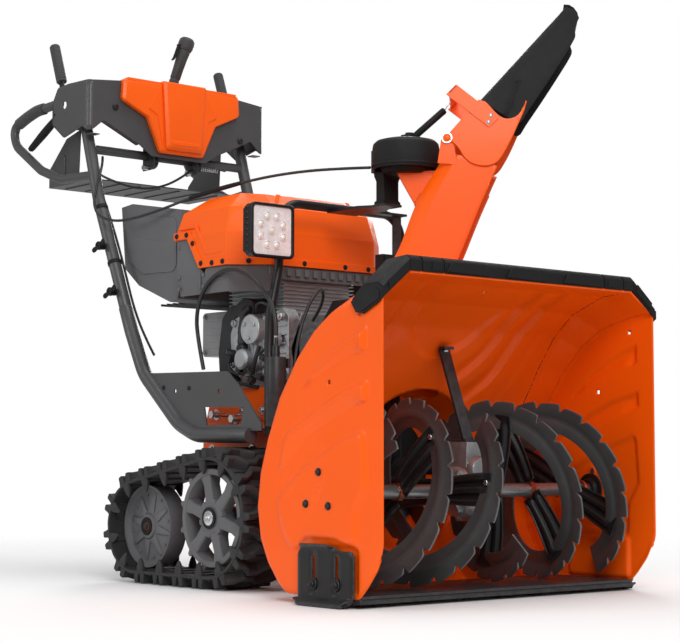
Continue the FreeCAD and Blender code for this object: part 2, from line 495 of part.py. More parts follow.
# closed loop grip behind the console
lp = [(-253, 1362, 1166), (-256, 1395, 1163), (-268, 1450, 1156), (-270, 1560, 1128), (-270, 1548, 1080), (-270, 1420, 1000), (-260, 1340, 969), (-237, 1230, 969)]
loop = tube(lp, 11.5, 60.0)[0]
hb = fuse([utube, plug, loop, box(-265.0, -250, 1350, 1366, 1156, 1176)] + [cyl((-TUBE_X, yy, zz), (-1, 0, 0), 3.0, 30) for yy, zz in ((1152.0, 786.0), (1101.0, 672.0))])
cross = cyl((-TUBE_X, 1249, 1037), (1, 0, 0), 11, 2 * TUBE_X)
put("handlebar", fuse([hb, mir(hb), cross]))
grip = tube([(-262.0, 1422, 1159.5), (-268, 1450, 1156), (-269.9, 1535, 1134.4)], 14.5, 300.0)[0]
grip = grip.cut(fuse([loop]))
gs = sorted(grip.Solids, key=lambda s: -s.Volume)[0]
put("loop_grips", group([gs, mir(gs)]))

# wing knobs on each side
def knob(y, z):
    a = cyl((-TUBE_X - 17.5, y, z), (-1, 0, 0), 9, 12)
    w = [a]
    for s in (-1, 1):
        b = Part.makeBox(9, 26, 13, V(-TUBE_X - 36, 0, -6.5))
        b.rotate(V(0, 0, 0), V(1, 0, 0), 65 if s > 0 else 245)
        b.translate(V(0, y, z)); w.append(b)
    w.append(cyl((-TUBE_X - 29, y, z), (-1, 0, 0), 10, 7))
    return fuse(w).cut(cyl((-TUBE_X, y, z), (-1, 0, 0), 3.05, 31))


K1 = (1152.0, 786.0); K2 = (1101.0, 672.0)
k1 = knob(*K1); k2 = knob(*K2)
put("knob_upper_right", k1); put("knob_lower_right", k2)
put("knob_upper_left", mir(k1)); put("knob_lower_left", mir(k2))

# ---------------------------------------------------------------- console
front = [(-262, 1075), (-225, 1103), (-208, 1095), (-120, 1055), (-82, 1030), (82, 1030), (120, 1055), (208, 1095), (225, 1103), (262, 1075), (268, 1110), (262, 1200), (180, 1208), (-180, 1208), (-262, 1200), (-268, 1110)]
fp = poly(front, "xz", 1205, 1208)
side = poly([(1205, 1075), (1205, 1200), (1300, 1203), (1350, 1200), (1375, 1165), (1375, 1110), (1355, 1095), (1320, 1070), (1235, 1090)], "yz", -268, -265.2)
side = side.cut(cyl((-270, 1318, 1152), (1, 0, 0), 9, 10))
deck = poly([(1205, 1198), (1205, 1201), (1330, 1196), (1330, 1193)], "yz", -265.5, 265.5)
deck = deck.cut(cyl((0, 1262, 1150), (0, 0, 1), 36, 80))
jb = fuse([box(-12, 12, 1238, 1243, 1150, 1200), box(-12, 12, 1281, 1286, 1150, 1200)]).cut(cyl((0, 1230, 1165), (0, 1, 0), 4.05, 70))
jb = fuse([jb, box(-50, 50, 1238, 1243, 1186, 1198), box(-50, 50, 1281, 1286, 1186, 1198)])
jb = jb.cut(cyl((0, 1262, 1176), (0, 0, 1), 19.0, 50))
tray = fuse([box(-215, 215, 1268, 1470, 966, 969), box(-215, 215, 1468, 1471, 969, 1000)])
ub = poly([(1322, 1098), (1388, 1083), (1470, 1012), (1470, 966), (1330, 966)], "yz", -218, -215)
con = fuse([fp, side, mir(side), deck, jb, tray, ub, mir(ub), box(-265.5, -215, 1300, 1330, 1096, 1099), box(215, 265.5, 1300, 1330, 1096, 1099)])
con = con.cut(group([tube(lp, 12.2, 60.0)[0], mir(tube(lp, 12.2, 60.0)[0])])).cut(group([tube(ut_pts, TUBE_R + 0.3, 200)[0], mir(tube(ut_pts, TUBE_R + 0.3, 200)[0])]))
con = con.cut(cyl((-240, 1249, 1037), (1, 0, 0), 11.3, 480))
con = fuse([s for s in con.Solids if s.Volume > 2000])
put("console_panel", con)
cc = [(-172, 1214), (-60, 1217), (60, 1217), (172, 1214), (176, 1160), (100, 1125), (62, 1040), (-62, 1040), (-100, 1125), (-176, 1160)]
cov = poly(cc, "xz", 1188, 1204.8).fuse(poly([(-55, 1217), (55, 1217), (48, 1052), (-48, 1052)], "xz", 1176, 1189))
cov = cov.fuse(poly([(-168, 1208.5), (168, 1208.5), (166, 1216), (-166, 1216)], "xz", 1189, 1235))
cov = cov.cut(poly([(-165, 1206), (165, 1206), (95, 1130), (57, 1048), (-57, 1048), (-95, 1130)], "xz", 1191, 1206))
put("console_cover", cov)

# joystick: cross pin in the console, stick, trigger
JY, JZ = 1262.0, 1165.0
put("joystick_gimbal", fuse([cyl((0, JY - 24, JZ), (0, 1, 0), 4, 48), box(-9, 9, JY - 7, JY + 7, JZ - 7, JZ + 7)]).cut(cyl((-12, JY, JZ), (1, 0, 0), 3.05, 24)))
jy = [cyl((-14, JY, JZ), (1, 0, 0), 3.0, 28), box(-14, -10.5, JY - 6, JY + 6, JZ - 8, JZ + 18), box(10.5, 14, JY - 6, JY + 6, JZ - 8, JZ + 18), box(-14, 14, JY - 6, JY + 6, JZ + 10, JZ + 18)]
jd = V(0.30, -0.10, 1.0); jd.normalize()
j0 = V(0, JY, JZ + 16)
jy.append(Part.makeCylinder(6, 70, j0, jd)); jy.append(Part.makeCylinder(13, 96, j0 + jd * 62, jd)); jy.append(Part.makeCone(13, 20, 34, j0 + jd * 150, jd))
put("joystick", fuse(jy))
side_v = V(-1, 0, 0) - jd * (V(-1, 0, 0).dot(jd)); side_v.normalize()
jt0 = j0 + jd * 112 + side_v * 20.6
tb = Part.makeBox(5, 12, 46, V(-2.5, -6, 0))
tb.Placement = Placement(jt0, Rotation(V(0, 0, 1), jd))
jcr = jd.cross(side_v); jcr.normalize()
jtp = jt0 + jd * 44
put("joystick_trigger", fuse([tb, Part.makeCylinder(3.0, 12, jtp - jcr * 6, jcr)]))

# clutch levers: strap and thick rubber grip
def clutch():
    a = Part.makeBox(4, 18, 40, V(-258, 1336, 1186))
    a.rotate(V(-256, 1345, 1190), V(1, 0, 0), -18)
    g = Part.makeCylinder(13.5, 108, V(-255, 1353, 1216), V(0, 0.354, 0.935))
    return fuse([a, g, cyl((-262, 1345, 1190), (1, 0, 0), 8, 18)])


cl = clutch()
put("clutch_lever_right", cl); put("clutch_lever_left", mir(cl))


tg = fuse([Part.makeCylinder(8.5, 142, V(-255.5, 1364, 1134), V(-0.09, 0.846, -0.532)), cyl((-264.6, 1364, 1134), (1, 0, 0), 10, 18)])
put("steering_trigger_right", tg); put("steering_trigger_left", mir(tg))

# ---------------------------------------------------------------- lamp on the right post
LX, LY, LZ = -236.0, 532.0, 763.0
lb = box(LX - 60, LX + 60, LY - 14, LY + 12, LZ - 58, LZ + 58)
lf2 = [lb]
for k in range(8):
    x = LX - 54 + k * 13.5
    lf2.append(box(x - 1.5, x + 1.5, LY + 11, LY + 22, LZ - 50, LZ + 50))
lf2.append(box(LX + 30, LX + 46, LY + 10, LY + 34, LZ - 9, LZ + 9))
put("work_lamp", fuse(lf2).cut(cyl((LX + 28, LY + 26, LZ), (1, 0, 0), 4.05, 22)))

# ---------------------------------------------------------------- skid shoes with slots
def skid():
    pl = poly([(233, 102), (222, 117), (142, 117), (112, 104), (74, 102), (74, 19), (90, 4), (220, 4), (233, 20)], "yz", -390.5, -386.5)
    sole = poly([(80, 10), (100, 0), (208, 0), (230, 14), (222, 18), (206, 4.5), (102, 4.5), (84, 15)], "yz", -414, -387)
    top = poly([(142, 114), (222, 114), (222, 117.5), (142, 117.5)], "yz", -400, -387)
    s = fuse([pl, sole, top])
    for y in (187, 120):
        s = s.cut(box(-395, -380, y - 5, y + 5, 32, 100)) if y == 187 else s.cut(box(-395, -380, y - 5, y + 5, 32, 98))
    return s


sk = skid()
put("skid_shoe_right", sk); put("skid_shoe_left", mir(sk))

# ---------------------------------------------------------------- tracks
def wheel(yc, zc, R, x0, x1, spokes, rim, hubr, solid=False):
    rg = ring((x0, yc, zc), (1, 0, 0), R, R - rim, x1 - x0)
    hb_ = cyl((x0 - 2, yc, zc), (1, 0, 0), hubr, x1 - x0 + 2)
    a = [rg, hb_]
    if solid:
        a.append(cyl((x0 + 10, yc, zc), (1, 0, 0), R - 2, 12))
        for k in range(spokes):
            b = Part.makeBox(10, R - hubr - 8, 10, V(x0 + 2, hubr - 2, -5)); b.rotate(V(0, 0, 0), V(1, 0, 0), 360.0 * k / spokes); b.translate(V(0, yc, zc)); a.append(b)
    else:
        for k in range(spokes):
            b = Part.makeBox(24, R - hubr - 2, 24, V(x0 + 2, hubr - 4, -12)); b.rotate(V(0, 0, 0), V(1, 0, 0), 360.0 * k / spokes + 15); b.translate(V(0, yc, zc)); a.append(b)
    return fuse(a)


def sprocket():
    w = wheel(SPR_Y, SPR_Z, SPR_R - 4, -308, -262, 6, 12, 34)
    ax = fuse([cyl((-300, SPR_Y, SPR_Z), (1, 0, 0), 12.5, 292), ])
    nut = bolt((-310, SPR_Y, SPR_Z), (-1, 0, 0), 10, 9)
    return fuse([w, ax, nut, cyl((-263, SPR_Y, SPR_Z), (1, 0, 0), 22, 80)])


spk = sprocket()
put("sprocket_right", spk); put("sprocket_left", mir(spk))


def idler():
    w = wheel(IDL_Y, IDL_Z, IDL_R - 4, -282, -236, 7, 9, 26, True)
    w = fuse([w, cyl((-240, IDL_Y, IDL_Z), (1, 0, 0), 24, 60)])
    return w.cut(cyl((-290, IDL_Y, IDL_Z), (1, 0, 0), 9.05, 140))


idl = idler()
put("idler_right", idl); put("idler_left", mir(idl))


def loop2(e):
    """outline of the track around both wheels, grown by e"""
    (y1, z1, r1), (y2, z2, r2) = (SPR_Y, SPR_Z, SPR_R + 14 + e), (IDL_Y, IDL_Z, IDL_R + e)
    d = math.hypot(y2 - y1, z2 - z1); base = math.atan2(z2 - z1, y2 - y1)
    al = math.acos((r1 - r2) / d)
    P = []; n = 26
    a0 = base + al; a1 = base + 2 * math.pi - al
    for k in range(n + 1):
        a = a0 + (a1 - a0) * k / n
        P.append((y1 + r1 * math.cos(a), z1 + r1 * math.sin(a)))
    b0 = base - al; b1 = base + al
    for k in range(n + 1):
        a = b0 + (b1 - b0) * k / n
        P.append((y2 + r2 * math.cos(a), z2 + r2 * math.sin(a)))
    return P


def loop_len(P):
    return sum(math.hypot(P[i][0]-P[i-1][0], P[i][1]-P[i-1][1]) for i in range(len(P)))


def walk(P, n):
    L = loop_len(P); seg = []; out = []
    pts = P + [P[0]]
    for k in range(n):
        s = L * k / n; acc = 0
        for i in range(len(pts) - 1):
            d = math.hypot(pts[i+1][0]-pts[i][0], pts[i+1][1]-pts[i][1])
            if acc + d >= s:
                t = (s - acc) / max(d, 1e-9)
                out.append((pts[i][0] + t*(pts[i+1][0]-pts[i][0]), pts[i][1] + t*(pts[i+1][1]-pts[i][1]), math.atan2(pts[i+1][1]-pts[i][1], pts[i+1][0]-pts[i][0])))
                break
            acc += d
    return out


LUG = 20.0
carc = poly(loop2(8.0), "yz", -TRK_X1, -TRK_X0).cut(poly(loop2(0.0), "yz", -TRK_X1 - 1, -TRK_X0 + 1))
lugs = [carc]
for (y, z, a) in walk(loop2(7.0), 34):
    b = Part.makeBox(TRK_X1 - TRK_X0 - 6, 20, 23.0, V(-TRK_X1 + 3, -10, -22.0))
    b.rotate(V(0, 0, 0), V(1, 0, 0), math.degrees(a)); b.translate(V(0, y, z)); lugs.append(b)
for (y, z, a) in walk(loop2(0.5), 17):
    b = Part.makeBox(16, 14, 16, V(-TRK_X1 + 1.5, -7, -1))
    b.rotate(V(0, 0, 0), V(1, 0, 0), math.degrees(a)); b.translate(V(0, y, z))
    lugs.append(b)
trk = fuse(lugs).cut(box(-400, 0, 400, 1200, -10, 0))
ZMIN = trk.BoundBox.ZMin
print("track zmin", ZMIN, trk.BoundBox.YMin, trk.BoundBox.YMax, trk.BoundBox.ZMax, len(trk.Solids))
# horns stay outboard of the wheels
put("track_belts", group([trk, mir(trk)]))

# frame arm between sprocket axle and idler axle, one cross tube between both sides
ta = fuse([poly([(SPR_Y - 34, SPR_Z - 30), (SPR_Y + 34, SPR_Z - 34), (IDL_Y + 18, IDL_Z - 18), (IDL_Y + 18, IDL_Z + 18), (SPR_Y + 34, SPR_Z + 34), (SPR_Y - 34, SPR_Z + 34)], "yz", -161, -156),
           cyl((-284, IDL_Y, IDL_Z), (1, 0, 0), 9.0, 130), cyl((-156.5, IDL_Y - 30, IDL_Z), (1, 0, 0), 12, 160)])
ta = ta.cut(cyl((-170, SPR_Y, SPR_Z), (1, 0, 0), 30, 30))
# collar that rides on the axle housing
ta = ta.fuse(ring((-161, SPR_Y, SPR_Z), (1, 0, 0), 34, 22.05, 5))
# arm forward to the lift strut, ahead of and above the right track
sarm = fuse([poly([(SPR_Y - 20, SPR_Z + 28), (SPR_Y + 10, SPR_Z + 30), (520, 318), (492, 318), (492, 300)], "yz", -161, -156), cyl((-246, 504, 308), (1, 0, 0), 5.0, 88)])
tf = fuse([ta, sarm, mir(ta)])
put("track_frame", tf)

# lift strut: cylinder hung from the housing, rod down to the track arm
STX, STY = -238.0, 504.0
cyls = cyl((STX, STY, 346), (0, 0, 1), 21.5, 146).cut(cyl((STX, STY, 340), (0, 0, 1), 6.05, 132))
cyls = fuse([cyls, cyl((STX, STY, 492), (0, 0, 1), 8, 24), cyl((STX, STY, 516), (0, 0, 1), 4, 18), cyl((STX + 20, STY, 480), (1, 0, 0), 5.0, 12)])
put("strut_cylinder", cyls)
rod = fuse([cyl((STX, STY, 318), (0, 0, 1), 6.0, 142), cyl((STX - 5, 504, 308), (1, 0, 0), 13.5, 10)]).cut(cyl((STX - 12, 504, 308), (1, 0, 0), 9.5, 24))
put("strut_rod", rod)

# ---------------------------------------------------------------- cables
cabs = []
def cable(pts, r):
    s, w, rad = tube(pts, r)
    print("cable r", r, "len", round(w.Length), "min radius", round(min(rad), 1), "vol err", round(s.Volume / (math.pi * r * r * w.Length) - 1, 4))
    return s


C1_ROUTE = [(-206, 1238, 1018), (-228, 1203, 996), (-250, 1181, 962), (-262, 1178, 924), (-268, 1180, 888), (-264, 1158, 855), (-250, 1106, 841), (-237, 1046, 844), (-217, 971, 857), (-193, 885, 878), (-168, 795, 893), (-138, 692, 907), (-108, 586, 912), (-83, 479, 908), (-61, 404, 903)]
c1 = cable(C1_ROUTE, 3.2)
c2 = cable([(-212, 1262, 1010), (-209, 1242, 940), (-205, 1208, 875), (-207, 1165, 800), (-209, 1125, 720), (-208, 1092, 640), (-206, 1050, 570), (-203, 1010, 520)], 3.0)
c3 = cable([(-216.5, 1290, 1020), (-205, 1275, 985), (-160, 1250, 962), (-100, 1240, 950), (-40, 1235, 958), (20, 1232, 985), (60, 1232, 1015)], 3.0)
put("control_cables", group([c1, c2, c3]))
e1 = cable([(-212, 800, 478), (-216, 815, 540), (-220, 820, 600), (-224, 790, 655), (-228, 730, 690), (-232, 660, 695), (-235, 590, 668), (-238, 535, 625), (-238, 504, 585), (-238, 504, 538)], 4.5)
e2 = cable([(-60, 598, 585), (-64, 566, 610), (-80, 535, 638), (-112, 508, 648), (-150, 496, 618), (-180, 490, 565), (-196, 488, 510), (-204, 488, 455)], 3.5)
put("engine_cables", group([e1, e2]))

# ---------------------------------------------------------------- fasteners in one node
bl = []
for s in (-1, 1):
    for y, z in ((176, 253), (214, 192), (147, 189)):
        bl.append(bolt((s * (HALF_W + 0.0), y, z), (s, 0, 0), 6.5, 4))
    for y in (187, 120):
        bl.append(bolt((s * 390.9, y, 42), (s, 0, 0), 8, 4.5).fuse(cyl((s * 391.5, y, 42), (-s, 0, 0), 4.6, 6.5)))
    for y, z in ((735, 375), (662, 365)):
        bl.append(cyl((s * 150, y, z), (s, 0, 0), 5, 85).fuse(bolt((s * 233, y, z), (s, 0, 0), 9, 6)))
bl.append(bolt((0, 236, 504.4), (0, 0, -1), 7, 4))
bl.append(bolt((0, 182, 319), (0, 0, 1), 7, 4))
put("chassis_bolts", group(bl))

# ---------------------------------------------------------------- write
bad = 0
allb = None
for n, s in OUT.items():
    if not s.isValid():
        print("INVALID", n); bad += 1
    if allb is None: allb = s.BoundBox
    else: allb.add(s.BoundBox)
    s.exportStep("parts/%s.step" % n)
print(len(OUT), "nodes", "bbox", [round(v, 2) for v in (allb.XMin, allb.XMax, allb.YMin, allb.YMax, allb.ZMin, allb.ZMax)])
for n, s in OUT.items():
    b = s.BoundBox
    print("%-22s sol %d vol %.0f  x %.0f..%.0f y %.0f..%.0f z %.0f..%.0f" % (n, len(s.Solids), s.Volume / 1000, b.XMin, b.XMax, b.YMin, b.YMax, b.ZMin, b.ZMax))
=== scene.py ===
import bpy, bmesh, math
import numpy as np
from mathutils import Vector, Matrix
from mathutils.geometry import delaunay_2d_cdt


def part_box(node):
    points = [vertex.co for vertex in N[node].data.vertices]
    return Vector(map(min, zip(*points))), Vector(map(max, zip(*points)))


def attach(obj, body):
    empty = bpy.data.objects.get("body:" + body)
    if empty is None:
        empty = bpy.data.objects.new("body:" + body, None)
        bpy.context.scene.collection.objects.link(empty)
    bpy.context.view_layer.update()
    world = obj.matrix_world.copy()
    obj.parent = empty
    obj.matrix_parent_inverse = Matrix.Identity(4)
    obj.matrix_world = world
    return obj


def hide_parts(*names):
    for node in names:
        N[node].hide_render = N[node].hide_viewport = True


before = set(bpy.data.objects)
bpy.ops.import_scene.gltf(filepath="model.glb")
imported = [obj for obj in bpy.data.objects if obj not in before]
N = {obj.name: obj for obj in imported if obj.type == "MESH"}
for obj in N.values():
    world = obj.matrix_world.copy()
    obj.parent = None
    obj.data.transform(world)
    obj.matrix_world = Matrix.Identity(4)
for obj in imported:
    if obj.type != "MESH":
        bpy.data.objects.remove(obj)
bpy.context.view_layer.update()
Y0 = -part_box("side_plates")[0].y * 1000.0          # the housing's mouth plane is y = 0 in the working coordinates, in mm


def M(p):
    return (p[0] / 1000.0, (p[1] - Y0) / 1000.0, p[2] / 1000.0)


# ------------------------------------------------------------------ small geometry tools
def vadd(a, b): return (a[0] + b[0], a[1] + b[1], a[2] + b[2])


def arcs(pts, r, n=6, closed=False):
    """polyline with its corners rounded; r is one radius or one per point"""
    P = [np.array(p, float) for p in pts]
    m = len(P); out = []
    for i in range(m):
        if not closed and i in (0, m - 1):
            out.append(P[i]); continue
        a, b, c = P[i - 1], P[i], P[(i + 1) % m]
        ri = float(np.interp(i / max(m - 1, 1), np.linspace(0, 1, len(r)), r)) if hasattr(r, "__len__") else r
        u, w = a - b, c - b
        lu, lw = np.linalg.norm(u), np.linalg.norm(w)
        if ri <= 0 or lu < 1e-6 or lw < 1e-6:
            out.append(b); continue
        u, w = u / lu, w / lw
        co = float(np.clip(u @ w, -1, 1)); half = math.acos(co) / 2
        if half > math.pi / 2 - 0.02:
            out.append(b); continue
        t = min(ri / math.tan(half), 0.48 * lu, 0.48 * lw)
        rr = t * math.tan(half)
        bis = (u + w); bis /= np.linalg.norm(bis)
        cen = b + bis * (rr / math.sin(half))
        p1, p2 = b + u * t, b + w * t
        e1 = (p1 - cen) / rr; e2 = (p2 - cen) / rr
        ang = math.acos(float(np.clip(e1 @ e2, -1, 1)))
        k = max(2, int(math.ceil(n * ang / (math.pi / 2))) + 1)
        for j in range(k + 1):
            s = j / k
            if ang < 1e-4:
                out.append(p1 + (p2 - p1) * s)
            else:
                out.append(cen + rr * (math.sin((1 - s) * ang) * e1 + math.sin(s * ang) * e2) / math.sin(ang))
    return [tuple(p) for p in out]


def resamp(pts, step, closed=False):
    P = [np.array(p, float) for p in pts]
    if closed: P = P + [P[0]]
    out = []
    for i in range(len(P) - 1):
        L = np.linalg.norm(P[i + 1] - P[i]); k = max(1, int(math.ceil(L / step)))
        for j in range(k): out.append(tuple(P[i] + (P[i + 1] - P[i]) * j / k))
    if not closed: out.append(tuple(P[-1]))
    return out


def catmull(pts, n=6, closed=False):
    P = [np.array(p, float) for p in pts]; m = len(P); out = []
    rng = range(m) if closed else range(m - 1)
    for i in rng:
        if closed: a, b, c, d = P[(i - 1) % m], P[i], P[(i + 1) % m], P[(i + 2) % m]
        else: a, b, c, d = P[max(i - 1, 0)], P[i], P[i + 1], P[min(i + 2, m - 1)]
        for j in range(n):
            t = j / n
            out.append(tuple(0.5 * ((2 * b) + (c - a) * t + (2 * a - 5 * b + 4 * c - d) * t * t + (3 * b - a - 3 * c + d) * t ** 3)))
    if not closed: out.append(tuple(P[-1]))
    return out


def basis(d):
    d = np.array(d, float); d /= np.linalg.norm(d)
    ref = np.array((0, 0, 1.0)) if abs(d[2]) < 0.9 else np.array((1.0, 0, 0))
    a = np.cross(ref, d); a /= np.linalg.norm(a); b = np.cross(d, a)
    return d, a, b


def segdist(X, Y, pts, closed=False):
    """distance from the points X, Y to an open or closed 2-D polyline"""
    P = list(pts) + ([pts[0]] if closed else [])
    best = np.full(X.shape, 1e9)
    for i in range(len(P) - 1):
        ax, ay = P[i]; bx, by = P[i + 1]; dx, dy = bx - ax, by - ay
        L = dx * dx + dy * dy
        t = np.clip(((X - ax) * dx + (Y - ay) * dy) / max(L, 1e-9), 0, 1)
        best = np.minimum(best, np.hypot(X - ax - t * dx, Y - ay - t * dy))
    return best


def inside(X, Y, poly):
    c = np.zeros(X.shape, bool); n = len(poly)
    for i in range(n):
        x0, y0 = poly[i]; x1, y1 = poly[(i + 1) % n]
        if y0 == y1: continue
        hit = ((y0 > Y) != (y1 > Y)) & (X < (x1 - x0) * (Y - y0) / (y1 - y0) + x0)
        c ^= hit
    return c


def sst(t):
    t = np.clip(t, 0, 1); return t * t * (3 - 2 * t)


class G:
    """collects faces of one piece, in working millimetres"""
    def __init__(s): s.v = []; s.f = []; s.m = []; s.mi = 0

    def add(s, v, f):
        n = len(s.v); s.v += [tuple(map(float, p)) for p in v]
        s.f += [tuple(i + n for i in q) for q in f]; s.m += [s.mi] * len(f); return s

    def prism(s, pts, plane, a, b):
        k = {"yz": lambda p, h: (h, p[0], p[1]), "xz": lambda p, h: (p[0], h, p[1]), "xy": lambda p, h: (p[0], p[1], h)}[plane]
        n = len(pts); v = [k(p, a) for p in pts] + [k(p, b) for p in pts]
        f = [tuple(range(n)), tuple(range(2 * n - 1, n - 1, -1))] + [(i, i + n, (i + 1) % n + n, (i + 1) % n) for i in range(n)]
        return s.add(v, f)

    def slab(s, pts, n, t):
        """prism of a 3-D planar polygon, thickness t along n"""
        m = len(pts); v = [tuple(p) for p in pts] + [tuple(np.array(p, float) + np.array(n, float) * t) for p in pts]
        return s.add(v, [tuple(range(m)), tuple(range(2 * m - 1, m - 1, -1))] + [(i, i + m, (i + 1) % m + m, (i + 1) % m) for i in range(m)])

    def box(s, x0, x1, y0, y1, z0, z1):
        return s.prism([(y0, z0), (y1, z0), (y1, z1), (y0, z1)], "yz", x0, x1)

    def obox(s, c, ax, ay, az, hx, hy, hz):
        c = np.array(c, float); A, B, C = (np.array(q, float) / np.linalg.norm(q) for q in (ax, ay, az))
        v = [tuple(c + A * i * hx + B * j * hy + C * k * hz) for i in (-1, 1) for j in (-1, 1) for k in (-1, 1)]
        return s.add(v, [(0, 1, 3, 2), (4, 6, 7, 5), (0, 4, 5, 1), (2, 3, 7, 6), (0, 2, 6, 4), (1, 5, 7, 3)])

    def loft(s, rings, cap=True, closed=True, loop=False):
        n = len(rings[0]); v = [p for r in rings for p in r]; f = []
        K = len(rings)
        for k in range(K if loop else K - 1):
            for i in range(n if closed else n - 1):
                j = (i + 1) % n; q = (k + 1) % K
                f.append((k * n + i, k * n + j, q * n + j, q * n + i))
        if cap and not loop and closed: f += [tuple(range(n - 1, -1, -1)), tuple((K - 1) * n + i for i in range(n))]
        return s.add(v, f)

    def lathe(s, prof, c, d, seg=40, cap=True, loop=False):
        """prof: (radius, height along d) from c"""
        d, a, b = basis(d); c = np.array(c, float); rings = []
        for (r, h) in prof:
            rings.append([tuple(c + d * h + max(r, 0.01) * (a * math.cos(2 * math.pi * k / seg) + b * math.sin(2 * math.pi * k / seg))) for k in range(seg)])
        return s.loft(rings, cap=cap, loop=loop)

    def cyl(s, p, d, r, h, seg=32, e=0.8):
        e = min(e, r * 0.3, h * 0.3)
        return s.lathe([(r - e, 0), (r, e), (r, h - e), (r - e, h)], p, d, seg)

    def tube(s, pts, r, seg=16, rad=0, closed=False, n=8, cap=True):
        P = arcs(pts, rad, n, closed) if rad else [tuple(p) for p in pts]
        P = [np.array(p, float) for p in P]; m = len(P)
        T = []
        for i in range(m):
            if closed: t = P[(i + 1) % m] - P[i - 1]
            else: t = P[min(i + 1, m - 1)] - P[max(i - 1, 0)]
            T.append(t / np.linalg.norm(t))
        _, a, b = basis(T[0]); rings = []
        for i in range(m):
            a = a - T[i] * (a @ T[i]); a /= np.linalg.norm(a); b = np.cross(T[i], a)
            ri = float(np.interp(i / max(m - 1, 1), np.linspace(0, 1, len(r)), r)) if hasattr(r, "__len__") else (r(i / max(m - 1, 1)) if callable(r) else r)
            rings.append([tuple(P[i] + ri * (a * math.cos(2 * math.pi * k / seg) + b * math.sin(2 * math.pi * k / seg))) for k in range(seg)])
        return s.loft(rings, cap=cap, loop=closed)

    def hex(s, p, d, r=6.5, h=5.0, washer=None):
        d, a, b = basis(d); p = np.array(p, float)
        if washer: s.lathe([(washer - .5, 0), (washer, .4), (washer, 1.2), (washer - .5, 1.7)], p, d, 28); p = p + d * 1.6
        R = []
        for rr, hh in ((r, 0), (r, h - 1.0), (r - 0.9, h)):
            R.append([tuple(p + d * hh + rr * (a * math.cos(math.pi * k / 3) + b * math.sin(math.pi * k / 3))) for k in range(6)])
        return s.loft(R)

    def grid(s, fn, nu, nv):
        v = [fn(i / nu, j / nv) for i in range(nu + 1) for j in range(nv + 1)]
        f = [(i * (nv + 1) + j, (i + 1) * (nv + 1) + j, (i + 1) * (nv + 1) + j + 1, i * (nv + 1) + j + 1) for i in range(nu) for j in range(nv)]
        return s.add(v, f)

    def merge(s, o, f=lambda p: p, flip=False):
        n = len(s.v); s.v += [tuple(f(p)) for p in o.v]
        s.f += [tuple(i + n for i in (reversed(q) if flip else q)) for q in o.f]; s.m += list(o.m); return s

    def mirror(s):
        return s.merge(G().merge(s), lambda p: (-p[0], p[1], p[2]), True)

    def turned(s, c, axis, deg):
        R = Matrix.Rotation(math.radians(deg), 3, Vector(axis)); c = Vector(c); o = G()
        o.v = [tuple(R @ (Vector(p) - c) + c) for p in s.v]; o.f = list(s.f); o.m = list(s.m); return o

    def make(s, name, mats, body, nodes=(), bevel=None, seg=2, angle=30, smooth=38, solid=None, sub=0, off=0, weld=None, normals=True):
        me = bpy.data.meshes.new(name)
        me.from_pydata([M(p) for p in s.v], [], s.f)
        mats = mats if isinstance(mats, (list, tuple)) else [mats]
        for q in mats: me.materials.append(q)
        me.polygons.foreach_set("material_index", [min(i, len(mats) - 1) for i in s.m])
        bm = bmesh.new(); bm.from_mesh(me)
        if weld: bmesh.ops.remove_doubles(bm, verts=bm.verts, dist=weld)
        bmesh.ops.dissolve_degenerate(bm, edges=bm.edges, dist=1e-6)
        if normals: bmesh.ops.recalc_face_normals(bm, faces=bm.faces)
        bm.to_mesh(me); bm.free()
        me.update()
        for p in me.polygons: p.use_smooth = True
        me.set_sharp_from_angle(angle=math.radians(smooth))
        ob = bpy.data.objects.new(name, me); bpy.context.scene.collection.objects.link(ob)
        if solid:
            md = ob.modifiers.new("wall", "SOLIDIFY"); md.thickness = solid / 1000.0; md.offset = off; md.use_even_offset = False; md.use_quality_normals = True
        if bevel:
            md = ob.modifiers.new("edge", "BEVEL"); md.width = bevel / 1000.0; md.segments = seg; md.limit_method = "ANGLE"; md.angle_limit = math.radians(angle)
            md.harden_normals = False; md.miter_outer = "MITER_ARC"; md.use_clamp_overlap = True
        if sub:
            md = ob.modifiers.new("sub", "SUBSURF"); md.levels = sub; md.render_levels = sub
        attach(ob, body)
        if nodes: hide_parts(*([nodes] if isinstance(nodes, str) else nodes))
        return ob


